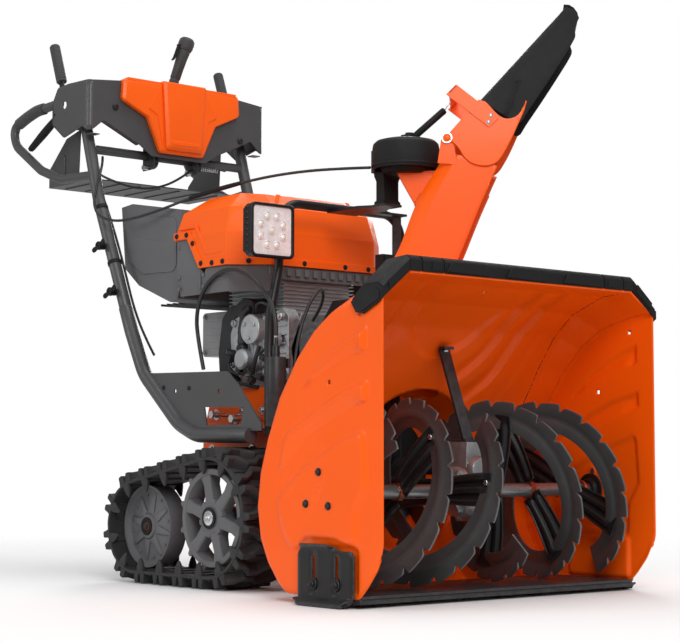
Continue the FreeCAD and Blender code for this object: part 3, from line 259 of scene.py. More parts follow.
def panel(name, outline, holes, fmap, mats, body, nodes=(), step=6.0, thick=2.6, off=0, smooth=40, extra=None):
    """sheet with any outline and holes, triangulated finely so that beads can be pressed into it"""
    loops = [resamp(outline, step, True)] + [resamp(h, step * 0.6, True) for h in holes]
    V2, E = [], []
    for L in loops:
        n = len(V2); V2 += [(p[0], p[1]) for p in L]
        E += [(n + i, n + (i + 1) % len(L)) for i in range(len(L))]
    o = np.array(loops[0])[:, :2]
    xs = np.arange(o[:, 0].min(), o[:, 0].max(), step); ys = np.arange(o[:, 1].min(), o[:, 1].max(), step * 0.87)
    X, Y = np.meshgrid(xs, ys); X = X + (np.arange(len(ys)) % 2)[:, None] * step * 0.5; X = X.ravel(); Y = Y.ravel()
    ok = inside(X, Y, [tuple(q[:2]) for q in loops[0]]) & (segdist(X, Y, [tuple(q[:2]) for q in loops[0]], True) > step * 0.45)
    for L in loops[1:]:
        ok &= ~inside(X, Y, [tuple(q[:2]) for q in L]) & (segdist(X, Y, [tuple(q[:2]) for q in L], True) > step * 0.4)
    V2 += list(zip(X[ok].tolist(), Y[ok].tolist()))
    r = delaunay_2d_cdt([Vector(p) for p in V2], E, [], 0, 1e-4)
    vv = np.array([(p.x, p.y) for p in r[0]]); ff = np.array([tuple(t) for t in r[2]])
    cx, cy = vv[ff][:, :, 0].mean(1), vv[ff][:, :, 1].mean(1)
    keep = inside(cx, cy, [tuple(q[:2]) for q in loops[0]])
    for L in loops[1:]: keep &= ~inside(cx, cy, [tuple(q[:2]) for q in L])
    ff = ff[keep]
    used = np.unique(ff); remap = -np.ones(len(vv), int); remap[used] = np.arange(len(used))
    P = fmap(vv[used][:, 0], vv[used][:, 1])
    g = G(); g.add(P.tolist(), [tuple(t) for t in remap[ff].tolist()])
    if extra: extra(g)
    return g.make(name, mats, body, nodes, solid=thick, off=off, smooth=smooth)


# ------------------------------------------------------------------ materials
def lin(c):
    return tuple(((v / 12.92) if v <= 0.04045 else ((v + 0.055) / 1.055) ** 2.4) for v in c)


def srgb(r, g, b):
    return lin((r / 255.0, g / 255.0, b / 255.0))


def mk(name, col, rough=0.4, metal=0.0, var=0.06, vscale=6.0, rvar=0.12, bump=0.05, bscale=900.0, coat=0.0, crough=0.08, spec=0.5,
       bump2=0.0, b2scale=90.0, dust=None, dustz=0.0, wear=None, stretch=(1, 1, 1), voronoi=False, aniso=0.0, sheen=0.0):
    m = bpy.data.materials.new(name); m.use_nodes = True; nt = m.node_tree; nd = nt.nodes; lk = nt.links; nd.clear()
    out = nd.new("ShaderNodeOutputMaterial"); bs = nd.new("ShaderNodeBsdfPrincipled"); lk.new(bs.outputs[0], out.inputs[0])
    tc = nd.new("ShaderNodeTexCoord"); mp = nd.new("ShaderNodeMapping"); mp.inputs["Scale"].default_value = stretch
    lk.new(tc.outputs["Object"], mp.inputs["Vector"])
    n1 = nd.new("ShaderNodeTexNoise"); n1.inputs["Scale"].default_value = vscale; n1.inputs["Detail"].default_value = 6; n1.inputs["Roughness"].default_value = 0.6
    lk.new(mp.outputs[0], n1.inputs["Vector"])
    r1 = nd.new("ShaderNodeMapRange"); r1.inputs["From Min"].default_value = 0.3; r1.inputs["From Max"].default_value = 0.7
    lk.new(n1.outputs["Fac"], r1.inputs["Value"])
    mx = nd.new("ShaderNodeMix"); mx.data_type = "RGBA"
    dk = tuple(max(0, c * (1 - var)) for c in col) + (1,); lt = tuple(min(1, c * (1 + var) + 0.002) for c in col) + (1,)
    mx.inputs[6].default_value = dk; mx.inputs[7].default_value = lt
    lk.new(r1.outputs[0], mx.inputs[0]); last = mx.outputs[2]
    if dust:
        n3 = nd.new("ShaderNodeTexNoise"); n3.inputs["Scale"].default_value = 28; n3.inputs["Detail"].default_value = 8; lk.new(tc.outputs["Object"], n3.inputs["Vector"])
        sx = nd.new("ShaderNodeSeparateXYZ"); lk.new(tc.outputs["Object"], sx.inputs[0])
        rz = nd.new("ShaderNodeMapRange"); rz.inputs["From Min"].default_value = 0.0; rz.inputs["From Max"].default_value = 0.3; rz.inputs["To Min"].default_value = 0.62; rz.inputs["To Max"].default_value = 0.72
        lk.new(sx.outputs[2], rz.inputs["Value"])
        gt = nd.new("ShaderNodeMapRange"); lk.new(n3.outputs["Fac"], gt.inputs["Value"]); lk.new(rz.outputs[0], gt.inputs["From Min"]); gt.inputs["From Max"].default_value = 0.95
        gt.inputs["To Max"].default_value = dustz
        m2 = nd.new("ShaderNodeMix"); m2.data_type = "RGBA"; lk.new(gt.outputs[0], m2.inputs[0]); lk.new(last, m2.inputs[6]); m2.inputs[7].default_value = tuple(dust) + (1,)
        last = m2.outputs[2]
    if wear:
        ge = nd.new("ShaderNodeNewGeometry"); wr = nd.new("ShaderNodeMapRange"); wr.inputs["From Min"].default_value = 0.52; wr.inputs["From Max"].default_value = 0.60
        lk.new(ge.outputs["Pointiness"], wr.inputs["Value"]); n4 = nd.new("ShaderNodeTexNoise"); n4.inputs["Scale"].default_value = 60; lk.new(tc.outputs["Object"], n4.inputs["Vector"])
        mu = nd.new("ShaderNodeMath"); mu.operation = "MULTIPLY"; lk.new(wr.outputs[0], mu.inputs[0]); lk.new(n4.outputs["Fac"], mu.inputs[1])
        m3 = nd.new("ShaderNodeMix"); m3.data_type = "RGBA"; lk.new(mu.outputs[0], m3.inputs[0]); lk.new(last, m3.inputs[6]); m3.inputs[7].default_value = tuple(wear) + (1,)
        last = m3.outputs[2]
    lk.new(last, bs.inputs["Base Color"])
    n2 = nd.new("ShaderNodeTexNoise"); n2.inputs["Scale"].default_value = vscale * 4; n2.inputs["Detail"].default_value = 5; lk.new(mp.outputs[0], n2.inputs["Vector"])
    r2 = nd.new("ShaderNodeMapRange"); r2.inputs["From Min"].default_value = 0.3; r2.inputs["From Max"].default_value = 0.7
    r2.inputs["To Min"].default_value = max(0.03, rough * (1 - rvar)); r2.inputs["To Max"].default_value = min(1, rough * (1 + rvar))
    lk.new(n2.outputs["Fac"], r2.inputs["Value"]); lk.new(r2.outputs[0], bs.inputs["Roughness"])
    bs.inputs["Metallic"].default_value = metal; bs.inputs["Coat Weight"].default_value = coat; bs.inputs["Coat Roughness"].default_value = crough
    bs.inputs["Specular IOR Level"].default_value = spec
    if sheen: bs.inputs["Sheen Weight"].default_value = sheen
    if aniso: bs.inputs["Anisotropic"].default_value = aniso
    if bump or bump2:
        bt = nd.new("ShaderNodeTexVoronoi" if voronoi else "ShaderNodeTexNoise"); bt.inputs["Scale"].default_value = bscale
        if not voronoi: bt.inputs["Detail"].default_value = 3
        lk.new(mp.outputs[0], bt.inputs["Vector"])
        b1 = nd.new("ShaderNodeBump"); b1.inputs["Strength"].default_value = bump; b1.inputs["Distance"].default_value = 0.0006
        lk.new(bt.outputs[0], b1.inputs["Height"]); cur = b1.outputs[0]
        if bump2:
            b3 = nd.new("ShaderNodeTexNoise"); b3.inputs["Scale"].default_value = b2scale; b3.inputs["Detail"].default_value = 4; lk.new(mp.outputs[0], b3.inputs["Vector"])
            b4 = nd.new("ShaderNodeBump"); b4.inputs["Strength"].default_value = bump2; b4.inputs["Distance"].default_value = 0.002
            lk.new(b3.outputs[0], b4.inputs["Height"]); lk.new(cur, b4.inputs["Normal"]); cur = b4.outputs[0]
        lk.new(cur, bs.inputs["Normal"])
        if coat: lk.new(b1.outputs[0], bs.inputs["Coat Normal"])
    return m


ORANGE = mk("orange_paint", srgb(252, 94, 2), rough=0.38, var=0.035, vscale=3, bump=0.10, bscale=420, spec=0.22, coat=0.14, crough=0.09, bump2=0.03, b2scale=40)
ORPLAS = mk("orange_plastic", srgb(251, 97, 5), rough=0.38, var=0.03, vscale=4, bump=0.08, bscale=1500, spec=0.22, coat=0.10, crough=0.15)
CHARST = mk("charcoal_steel", srgb(66, 66, 68), rough=0.42, var=0.08, vscale=10, bump=0.25, bscale=1100, spec=0.5, bump2=0.02, coat=0.15, crough=0.25)
BLKST = mk("black_steel", srgb(26, 26, 27), spec=0.25, rough=0.40, var=0.10, vscale=12, bump=0.22, bscale=1000, coat=0.06, crough=0.2, wear=srgb(90, 90, 92))
CHARPL = mk("charcoal_plastic", srgb(100, 100, 102), spec=0.3, rough=0.55, var=0.06, vscale=8, bump=0.55, bscale=1500, voronoi=True)
BLKPL = mk("black_plastic", srgb(24, 24, 25), spec=0.22, rough=0.55, var=0.08, vscale=9, bump=0.45, bscale=1400, voronoi=True)
AUGST = mk("auger_steel", srgb(72, 74, 75), rough=0.40, metal=0.25, var=0.12, vscale=14, bump=0.2, bscale=800, coat=0.25, crough=0.25, bump2=0.05, b2scale=60, wear=srgb(150, 152, 155))
CAST = mk("cast_alloy", srgb(176, 178, 180), rough=0.46, metal=0.85, var=0.16, vscale=22, bump=0.6, bscale=520, bump2=0.15, b2scale=160, rvar=0.25)
ZINC = mk("zinc_steel", srgb(205, 206, 208), rough=0.28, metal=0.95, var=0.05, vscale=30, bump=0.04, bscale=700, rvar=0.15)
STEELT = mk("auger_tube_steel", srgb(150, 152, 154), rough=0.34, metal=0.8, var=0.10, vscale=30, stretch=(0.15, 1, 1), bump=0.2, bscale=600, rvar=0.3)
COPPER = mk("copper_nut", srgb(205, 130, 100), rough=0.32, metal=0.95, var=0.12, vscale=60, bump=0.1)
RUBBER = mk("cable_rubber", srgb(27, 27, 28), rough=0.45, var=0.08, vscale=30, bump=0.15, bscale=1500)
GRIP = mk("grip_rubber", srgb(48, 48, 50), rough=0.62, var=0.08, vscale=20, bump=0.6, bscale=1300, voronoi=True, sheen=0.15)
TRACK = mk("track_rubber", srgb(36, 36, 37), rough=0.66, var=0.18, vscale=24, bump=0.5, bscale=700, bump2=0.25, b2scale=150, dust=srgb(92, 88, 84), dustz=0.35, rvar=0.2)
LAMPM = mk("lamp_black", srgb(24, 24, 25), rough=0.34, metal=0.4, var=0.08, bump=0.2, bscale=900)
MUFF = mk("muffler_steel", srgb(150, 150, 152), rough=0.42, metal=0.75, var=0.14, vscale=12, bump=0.2, bscale=500, bump2=0.06)
ENGBLK = mk("engine_dark", srgb(40, 40, 42), rough=0.5, metal=0.3, var=0.15, vscale=20, bump=0.4, bscale=500)
# near-black used only for the seam strips: painted shade standing in for the shadow in the seam gaps
SEAM_SHADE_BLACK = mk("painted_seam_shade", srgb(20, 20, 21), rough=0.7, var=0.1, bump=0.3, bscale=800)
# ------------------------------------------------------------------ auger housing: side plates with pressed swooshes
SO = [(0, 589), (0, 156), (0, 112), (20, 72), (47, 39), (71, 16), (287, 18), (313, 38), (344, 75), (368, 121), (378, 183), (369, 251), (346, 318), (308, 398), (255, 473), (203, 524), (145, 561), (60, 583)]
SOr = arcs(SO, [3, 60, 60, 60, 60, 14, 40, 60, 60, 90, 90, 120, 120, 120, 120, 120, 120, 90], 5, True)
R1T = catmull([(246, 405), (234, 418), (181, 465), (116, 501), (43, 529)], 6) + [(43, 484)]; R1 = R1T + [(80, 474), (120, 462), (190, 435)]
R2T = catmull([(316, 258), (303, 275), (285, 327), (217, 363), (130, 403), (40, 428)], 6) + [(38, 391)]; R2 = R2T + [(90, 372), (160, 347), (220, 320), (290, 262)]
R3 = arcs([(314, 203), (232, 265), (130, 312), (47, 338), (38, 226), (66, 181), (69, 114), (264, 97), (287, 119), (306, 161)], 16, 5, True)
PK = arcs([(262, 100), (220, 133), (130, 132), (67, 112), (67, 24), (242, 24), (245, 98)], 8, 4, True)


def rib(X, Y, top, poly, h, ramp=15.0):
    low = poly[len(top):]
    dt = segdist(X, Y, top); dl = segdist(X, Y, low)
    return np.where(inside(X, Y, poly), h * sst(dt / ramp) * np.clip(dl / (dt + dl + 1e-6) * 1.25, 0, 1), 0.0)


def side_h(Y, Z):
    h = rib(Y, Z, R1T, R1, 9.0) + rib(Y, Z, R2T, R2, 9.0)
    h = h + np.where(inside(Y, Z, R3), 6.5 * sst(segdist(Y, Z, R3, True) / 14.0), 0)
    h = h - np.where(inside(Y, Z, PK), 6.5 * sst(segdist(Y, Z, PK, True) / 7.0), 0)
    d = np.hypot(Y - 180, Z - 213); h = h - 2.2 * np.exp(-((d - 11.5) / 2.6) ** 2) * (np.arctan2(Z - 213, Y - 180) % 6.283 > 0.7)
    for a, b in ((179, 253), (217, 192), (150, 189)): h = h - 1.6 * (1 - sst((np.hypot(Y - a, Z - b) - 9) / 5))
    de = segdist(Y, Z, SOr, True); front = sst(Y / 8.0)
    return h - 4.0 * (1 - sst(de / 7.0)) * (Y > 9) + 0 * front


def side_map(sg):
    def f(Y, Z): return np.column_stack([sg * (383.7 + np.clip(side_h(Y, Z), -9, 8.0)), Y, Z])
    return f


HOL = [[(y - 4, z - 4), (y + 4, z - 4), (y + 4, z + 4), (y - 4, z + 4)] for y, z in ((65, 550), (154, 424))]
sq = panel("side_plate_right", SOr, HOL, side_map(-1), ORANGE, "chassis", ["side_plates"], step=4.6, thick=2.6, off=0, smooth=60)
sq2 = panel("side_plate_left", SOr, HOL, side_map(1), ORANGE, "chassis", [], step=4.6, thick=2.6, off=0, smooth=60)
g = G()
for sg in (-1, 1):
    for a, b in ((179, 253), (217, 192), (150, 189)): g.hex((sg * 389.0, a, b), (sg, 0, 0), 6.2, 4.2, washer=8.2)
    g.lathe([(13, 0), (34, 0), (34, 3), (24, 6), (20, 13), (13, 13)], (sg * 382, 179, 213), (-sg, 0, 0), 40, cap=False, loop=True)
g.make("side_plate_bolts", BLKST, "chassis", [], bevel=0.5)

# ------------------------------------------------------------------ housing back with pressed swooshes, side corner facets and welded seams, with near-black strips of painted shade in the seams
HI = [(2, 629), (75, 624), (160, 592), (215, 545), (262, 480), (311, 400), (345, 317), (368, 250), (377, 183), (367, 121), (343, 75), (312, 40), (287, 20.5), (95, 20.5)]
LO = [(2, 586), (60, 580), (145, 558), (203, 521), (255, 470), (308, 397), (345, 317), (368, 250), (377, 183), (367, 121), (343, 75), (312, 40), (287, 20.5), (95, 20.5)]


def smooth_profile(P):
    """the profile with softened corners, as points at even fractions between its stations"""
    out = []; P = np.array(P, float)
    for i in range(len(P) - 1):
        for j in range(8):
            t = j / 8; p = P[i] * (1 - t) + P[i + 1] * t
            if i + 1 < len(P) - 1 and t >= 0.5:
                e = (t - 0.5); q = P[i + 1] * (1 - e) + P[i + 2] * e; p = p * 0.86 + (P[i] * (0.5) + P[i + 1] * 0.0 + p * 0.5 + 0 * q - P[i] * 0.5 + p * 0.5) * 0.14
            out.append(p)
    out.append(P[-1]); return np.array(out)


HS, LS = smooth_profile(HI), smooth_profile(LO)
HC = np.concatenate([[0], np.cumsum(np.hypot(*np.diff(HS, axis=0).T))]); TT = np.arange(len(HS), dtype=float)
STOT = HC[-1]


def back_pt(x, s):
    t = np.interp(s, HC, TT); k = np.clip((np.abs(x) - 317.0) / 65.0, 0, 1)
    y = (1 - k) * np.interp(t, TT, HS[:, 0]) + k * np.interp(t, TT, LS[:, 0]); z = (1 - k) * np.interp(t, TT, HS[:, 1]) + k * np.interp(t, TT, LS[:, 1])
    return y, z


def back_map(x, s):
    y, z = back_pt(x, s); y1, z1 = back_pt(x, np.clip(s + 6, 0, STOT)); y0, z0 = back_pt(x, np.clip(s - 6, 0, STOT))
    ty, tz = y1 - y0, z1 - z0; L = np.hypot(ty, tz) + 1e-9; ny, nz = -tz / L, ty / L          # outward, away from the auger
    BA = catmull([(141, 70), (141, 98), (144, 157), (141, 206), (139, 257), (116, 309), (91, 337), (63, 361)], 5)
    BB = catmull([(203, 70), (208, 102), (213, 173), (203, 229), (195, 271), (184, 323), (168, 356), (142, 385), (119, 406)], 5)
    BC = catmull([(-190, 62), (-183, 96), (-173, 149), (-175, 190), (-176, 229), (-180, 254), (-200, 300)], 5)
    BE = catmull([(264, 80), (268, 150), (262, 230), (250, 300), (232, 370), (205, 430), (180, 470)], 5)
    BF = catmull([(-250, 80), (-240, 150), (-236, 220), (-240, 300), (-252, 380), (-262, 440)], 5)
    BD = catmull([(-135, 150), (-122, 206), (-116, 237), (-96, 269), (-71, 292), (-42, 305), (-18, 307), (33, 290), (71, 254), (86, 217), (99, 195), (112, 150)], 5)
    h = np.zeros_like(x)
    for B, w, a, sg in ((BA, 17, 8.0, -1), (BB, 19, 8.0, -1), (BC, 20, 6.5, 1), (BE, 26, 1.8, -1), (BF, 26, 1.5, 1)):
        d = segdist(x, s, B); xb = np.interp(s, [p[1] for p in B], [p[0] for p in B]); e0, e1 = B[0][1], B[-1][1]
        fade = sst((s - e0 + 20) / 60) * sst((e1 + 40 - s) / 90)
        sd = np.where((x - xb) * sg > 0, 1, -1)
        h = h + a * fade * np.where(sd > 0, 1 - sst(d / (w * 2.2)), 1 - sst(d / (w * 0.42)))
    d = segdist(x, s, BD); ins = inside(x, s, BD + [(140, 0), (-160, 0)])
    h = h + np.where(ins, 6.5 * sst(d / 9.0) * sst((s - 120) / 110), 0)
    seam = np.abs(np.abs(x) - 308)
    h = h - 1.1 * (np.abs(x) > 308) * (np.abs(x) < 317) - 0.9 * np.exp(-(seam / 2.4) ** 2) * (0.5 + 0.5 * np.cos(s * 2 * math.pi / 15.0))
    h = h * sst((382 - np.abs(x)) / 12.0)
    return np.column_stack([x, y + ny * h, z + nz * h])


hole = []
zz = HS[::-1, 1]; ss = HC[::-1]
for k in range(72):
    a = 2 * math.pi * k / 72; z = 255 + 170 * math.sin(a); hole.append((170 * math.cos(a), float(np.interp(z, zz, ss))))
sh_hole = [(-23 + 4 * math.cos(k * math.pi / 4), 98 + 4 * math.sin(k * math.pi / 4)) for k in range(8)]
outl = [(-381.5, 0), (-317, 0), (317, 0), (381.5, 0), (381.5, STOT), (-381.5, STOT)]
panel("housing_back_sheet", outl, [hole, sh_hole], back_map, ORANGE, "chassis", ["housing_back"], step=7.0, thick=2.4, off=0, smooth=60)
g = G()                                                       # hem along the top edge
g.tube([(-316, 3, 629), (316, 3, 629)], 3.2, 10)
g.make("housing_top_hem", ORANGE, "chassis", [])
# dashed near-black strips along the side seams: painted shade, not part of the sheet; they stand in for the shadow in
# the seam gaps
g = G()
for sg in (-1, 1):
    s0 = 26.0
    while s0 < STOT - 300:
        L = []
        for k in range(9):
            s1 = s0 + 46.0 * k / 8; q = back_map(np.array([sg * 308.0]), np.array([s1]))[0]; yy, zz2 = back_pt(np.array([308.0]), np.array([s1 + 3.0])); y3, z3 = back_pt(np.array([308.0]), np.array([s1 - 3.0]))
            t = np.array([0, yy[0] - y3[0], zz2[0] - z3[0]]); t /= np.linalg.norm(t); nn = np.array([0, t[2], -t[1]]); q = q + nn * 1.5
            L.append([tuple(q + np.array([-0.9, 0, 0])), tuple(q + np.array([0.9, 0, 0])), tuple(q + np.array([0.9, 0, 0]) - nn * 1.6), tuple(q + np.array([-0.9, 0, 0]) - nn * 1.6)])
        g.loft(L); s0 += 50.0
g.make("housing_seam_shade_strips", SEAM_SHADE_BLACK, "chassis", [])
g = G()
g.prism([(66, 8), (112, 8), (112, 17.6), (66, 17.6)], "yz", -382, 382)
# thin black sheet over the inside of the housing floor: painted shade, standing in for the shadow on the floor inside
# the housing
g.prism([(62, 18.2), (292, 22.2), (292, 23.6), (62, 23.6)], "yz", -380, 380)
for x in np.linspace(-330, 330, 7): g.lathe([(9, 0), (9, 1.2), (6.5, 3.4), (2, 4.2), (0.1, 4.3)], (x, 88, 8), (0, 0, -1), 24)
g.make("scraper_bar_and_floor_shade_sheet", BLKST, "chassis", ["scraper_bar"], bevel=0.8)

# ------------------------------------------------------------------ black cap over the top front edge
g = G()
core = [(-1.5, 632), (-1.5, 651), (7, 659.5), (61, 655.5), (82, 628), (75, 626.8), (2, 631.8)]
g.prism(core, "yz", -318, 318)
seg = [(-3.5, 630.5), (-3.5, 651), (-0.5, 656.5), (7, 661), (60, 657.5), (66, 655), (83, 629), (79, 629), (60, 653), (7, 656), (0, 649), (0, 630.5)]
for a, b in ((-317, -290), (-285.5, -233), (-228.5, 224.5), (229, 284), (288.5, 317)): g.prism(seg, "yz", a, b)
for x0 in (-201, -38, 126):
    g.prism([(x0 - 26, 634), (x0 - 10, 653.5), (x0 + 81, 653.5), (x0 + 88, 632)], "xz", -7.4, -2.5)
for x0 in (-250, 250):
    g.prism([(x0 - 14, 634), (x0 - 10, 650), (x0 + 10, 650), (x0 + 14, 634)], "xz", -5.2, -2.5)
for x0 in np.linspace(-205, 205, 6): g.prism([(x0 - 22, 14), (x0 + 22, 14), (x0 + 18, 48), (x0 - 18, 48)], "xy", 655, 661.8)
chi = [(-3.5, 630), (-3.5, 652), (6, 661), (62, 657), (92, 628), (92, 621.5), (75, 626.8), (2, 631.8), (0.0, 631.8), (0.0, 630)]
clo = [(-3.5, 575), (-3.5, 596), (10, 606), (52, 604), (84, 578), (84, 576.5), (60, 584.5), (2, 590.8), (0.0, 590.8), (0.0, 575)]
lip = [(-3.5, 575), (-3.5, 592), (10, 600), (52, 600), (84, 572), (70, 552), (50, 548), (10, 566)]
lip2 = [(2, 574), (2, 588), (14, 595), (48, 595), (74, 571), (66, 557), (50, 553), (14, 569)]
for sg in (-1, 1):
    g.loft([[(sg * x, p[0], p[1]) for p in (clo if x > 350 else chi)] for x in (318.5, 387)])
    g.prism(lip, "yz", sg * 386, sg * 391); g.prism(lip2, "yz", sg * 390, sg * 393.0)
    m = [tuple(np.array(a) * 0.72 + np.array(b) * 0.28) for a, b in zip(chi, clo)]
    g.prism([(sg * 326, 628), (sg * 330, 645), (sg * 376, 608), (sg * 372, 594)], "xz", -5.8, -3)
g.make("housing_cap_moulding", BLKPL, "chassis", ["housing_cap"], bevel=1.3, seg=3, angle=24)

# ------------------------------------------------------------------ auger: notched ribbons, pressed arms, tube and nuts
AYc, AZc = 179.0, 213.0
RINN, ROUT = 128.0, 187.6
PHS = {1: math.radians(222), -1: math.radians(123)}


def notch(a):
    f = (a * 20 / (2 * math.pi)) % 1.0
    return 8.0 * (1 - float(sst(f / 0.24))) + 4.2 * (1 - min(1.0, f / 0.85)) + 3.0 * math.exp(-((f - 0.06) / 0.05) ** 2)


def ribbon(side, ph):
    n = 390; rings = []
    for k in range(n + 1):
        t = k / n; a = ph + math.radians(390) * t; x = side * (40 + 295 * t); c, s = math.cos(a), math.sin(a)
        ro = ROUT - notch(a); L = []
        end = min(1.0, min(t, 1 - t) * 14)
        rid = 4.2 * end
        for r, o in ((RINN, 0.0), (RINN + 5, 0.3), (143, 0.2), (149, 0.6 * rid), (155, rid), (161, 0.6 * rid), (167, 0.2), (ro - 4, 0.0), (ro, 0.0)): L.append((x + side * o, AYc + r * c, AZc + r * s))
        rings.append(L)
    return rings


g = G()
for side in (-1, 1):
    for ph in (0.0, math.pi): g.loft(ribbon(side, PHS[side] + ph), cap=False, closed=False)
g.make("auger_ribbons", AUGST, "auger", ["auger_flights"], solid=4.2, off=0, smooth=50, bevel=0.7, angle=45)
g = G()
arms = []
for side in (-1, 1):
    for ph in (0.0, math.pi):
        for fr in (0.14, 0.5, 0.88):
            x = side * (40 + 295 * fr); a = PHS[side] + ph + math.radians(390) * fr; arms.append((side, x, a))
            ca, sa = math.cos(a), math.sin(a); rows = []
            for i in range(25):
                r = 13 + (158 - 13) * i / 24; w = 26 + 6 * sst((r - 20) / 110.0); row = []
                for j in range(33):
                    v = -1 + 2 * j / 32; amp = 4.2 * sst((r - 16) / 12.0) * sst((148 - r) / 12.0)
                    xx = x + side * (amp * math.tanh(2.2 * math.cos(v * math.pi * 2.5)) / 0.976) + 5.5 * math.sin((r - 13) / 145 * math.pi) * side
                    row.append((xx, AYc + r * ca - w * v * sa, AZc + r * sa + w * v * ca))
                rows.append(row)
            g.loft(rows, cap=False, closed=False)
g.make("auger_arms", BLKST, "auger", [], solid=3.2, off=0, smooth=60, bevel=0.5, angle=50)
g = G()
g.mi = 0
g.cyl((-378, AYc, AZc), (1, 0, 0), 10, 756, 28)
for side in (-1, 1):
    x0 = 55 if side > 0 else -362
    g.lathe([(10.2, 0), (14.5, 0), (14.5, 307), (10.2, 307)], (x0, AYc, AZc), (1, 0, 0), 36, cap=False, loop=True)
    g.mi = 2
    for xx in (side * 66, side * 350): g.lathe([(14.6, 0), (19, 1), (19, 9), (14.6, 10)], (xx - 5, AYc, AZc), (1, 0, 0), 30, cap=False, loop=True)
    g.mi = 0
    g.cyl((side * 362.5 if side > 0 else -376.5, AYc, AZc), (1, 0, 0), 12.5, 14, 28)
g.mi = 1
for side, x, a in arms:
    ca, sa = math.cos(a), math.sin(a)
    for v in (-8, 8):
        q = (x + side * 2.5, AYc + 146 * ca - v * 1.6 * sa, AZc + 146 * sa + v * 1.6 * ca); g.hex(q, (side, 0, 0), 6, 4.5)
    g.mi = 2; g.lathe([(14.6, -7), (20, -6), (20, 6), (14.6, 7)], (x, AYc, AZc), (1, 0, 0), 6, cap=False, loop=True); g.mi = 1
g.make("auger_tube_and_nuts", [STEELT, ZINC, COPPER], "auger", ["auger_shaft"], bevel=0.5)

# ------------------------------------------------------------------ gear case: cast halves with a bolted flange and input nose
g = G()
g.lathe([(16, -52), (26, -51), (30, -46), (31, -38), (42, -35), (50, -28), (54, -18), (55, -5), (55, 5), (54, 18), (50, 28), (42, 35), (31, 38), (30, 46), (26, 51), (16, 52)], (0, AYc, AZc), (1, 0, 0), 56)
g.lathe([(52, -4.2), (60, -4.2), (61.5, -3), (61.5, 3), (60, 4.2), (52, 4.2)], (0, AYc, AZc), (1, 0, 0), 56, cap=False, loop=True)
g.lathe([(18, 0), (26, 0), (29, 4), (30, 12), (26, 20), (27, 60), (33, 80), (30, 112), (24, 118), (16, 118)], (0, 128, 255), (0, 1, 0), 48)
g.loft([[(x * q, y, z) for x, y in ((-24, 150), (24, 150), (26, 165), (26, 205), (22, 214), (-22, 214), (-26, 205), (-26, 165))] for q, z in ((1.1, 248), (1.0, 285), (0.95, 305), (0.9, 312.5))])
for k in range(8):
    a = 2 * math.pi * k / 8 + 0.3
    p = (0, AYc + 57 * math.cos(a), AZc + 57 * math.sin(a))
    g.lathe([(7.5, -5.5), (8, -5), (8, 5), (7.5, 5.5)], p, (1, 0, 0), 18); g.hex((5, p[1], p[2]), (1, 0, 0), 4.6, 4); g.hex((-5, p[1], p[2]), (-1, 0, 0), 4.6, 4)
for k in range(5):
    a = math.radians(60 + 60 * k)
    for sg in (-1, 1): g.obox((sg * 38, AYc + 36 * math.cos(a), AZc + 36 * math.sin(a)), (1, 0, 0), (0, math.cos(a), math.sin(a)), (0, -math.sin(a), math.cos(a)), 6, 13, 2)
g.make("gear_case_casting", CAST, "chassis", ["gear_case"], bevel=1.0, smooth=35)
# ------------------------------------------------------------------ chute, its swivel, the deflector and the black hood
C45 = math.sqrt(0.5)


def CH(p):
    """chute coordinates (forward, sideways, up) at the rest direction"""
    return (C45 * (p[0] + p[1]), 357.0 + C45 * (p[1] - p[0]), p[2])


def along(P, n):
    P = np.array(P, float); L = np.concatenate([[0], np.cumsum(np.hypot(*np.diff(P, axis=0).T))]); q = np.linspace(0, L[-1], n)
    return np.column_stack([np.interp(q, L, P[:, 0]), np.interp(q, L, P[:, 1])])


bk = along(catmull([(-64, 634), (-45, 668), (-12, 722), (26, 820), (69, 893), (88, 925)], 8), 40)
fr_ = along(catmull([(74, 634), (97, 668), (121, 721), (158, 812), (195, 893)], 8), 40)
g = G(); rows = []
for k in range(40):
    t = k / 39; B, F = bk[k], fr_[k]; fl = 12.0 * float(sst((0.885 - t) / 0.03)) * float(sst((t - 0.10) / 0.05)) + 0.02; ch_ = 22.0 * float(sst((t + 0.05) / 0.2)) + 3
    row = [(F[0], -73.5 - fl, F[1])]
    row += [(F[0], -73.5, F[1])]
    m = B + (F - B) * 0.24
    row += [tuple([F[0] * .5 + m[0] * .5, -73.5, F[1] * .5 + m[1] * .5]), (m[0], -73.5, m[1])]
    q = B + (F - B) * 0.10; row += [(q[0], -73.5 + ch_ * 0.42, q[1])]
    row += [(B[0], -73.5 + ch_, B[1]), (B[0], 0, B[1])]
    row = row + [(p[0], -p[1], p[2]) for p in reversed(row[:-1])]
    rows.append([CH(p) for p in row])
g.loft(rows, cap=False, closed=False)
g.make("chute_channel", ORANGE, "chute", ["chute"], solid=2.5, off=0, smooth=26, bevel=0.5)
g = G()
for sg in (-1, 1):
    v = sg * 73.0
    el = [(78, 953), (70, 900), (112, 896), (102, 953)]
    g.slab([CH((p[0], v, p[1])) for p in el], np.array(CH((0, sg, 0))) - np.array(CH((0, 0, 0))), 2.2)
    n = np.array(CH((0, sg, 0))) - np.array(CH((0, 0, 0)))
    g.lathe([(4.2, -1.8), (12, -1.8), (12, 1.0), (4.2, 1.0)], CH((90, v, 953)), n, 28, cap=False, loop=True)
    # rolled edge along the front of each side wall
    g.tube([CH((p[0] + 1, sg * 85.0, p[1])) for p in fr_[5:34]], 2.4, 8)
g.lathe([(68, 612.5), (86, 612.5), (86, 617.5), (74, 618), (74, 639), (70, 639), (70, 618), (68, 617)], (0, 357, 0), (0, 0, 1), 72, cap=False, loop=True)
g.make("chute_collar", ORANGE, "chute", [], bevel=0.5)

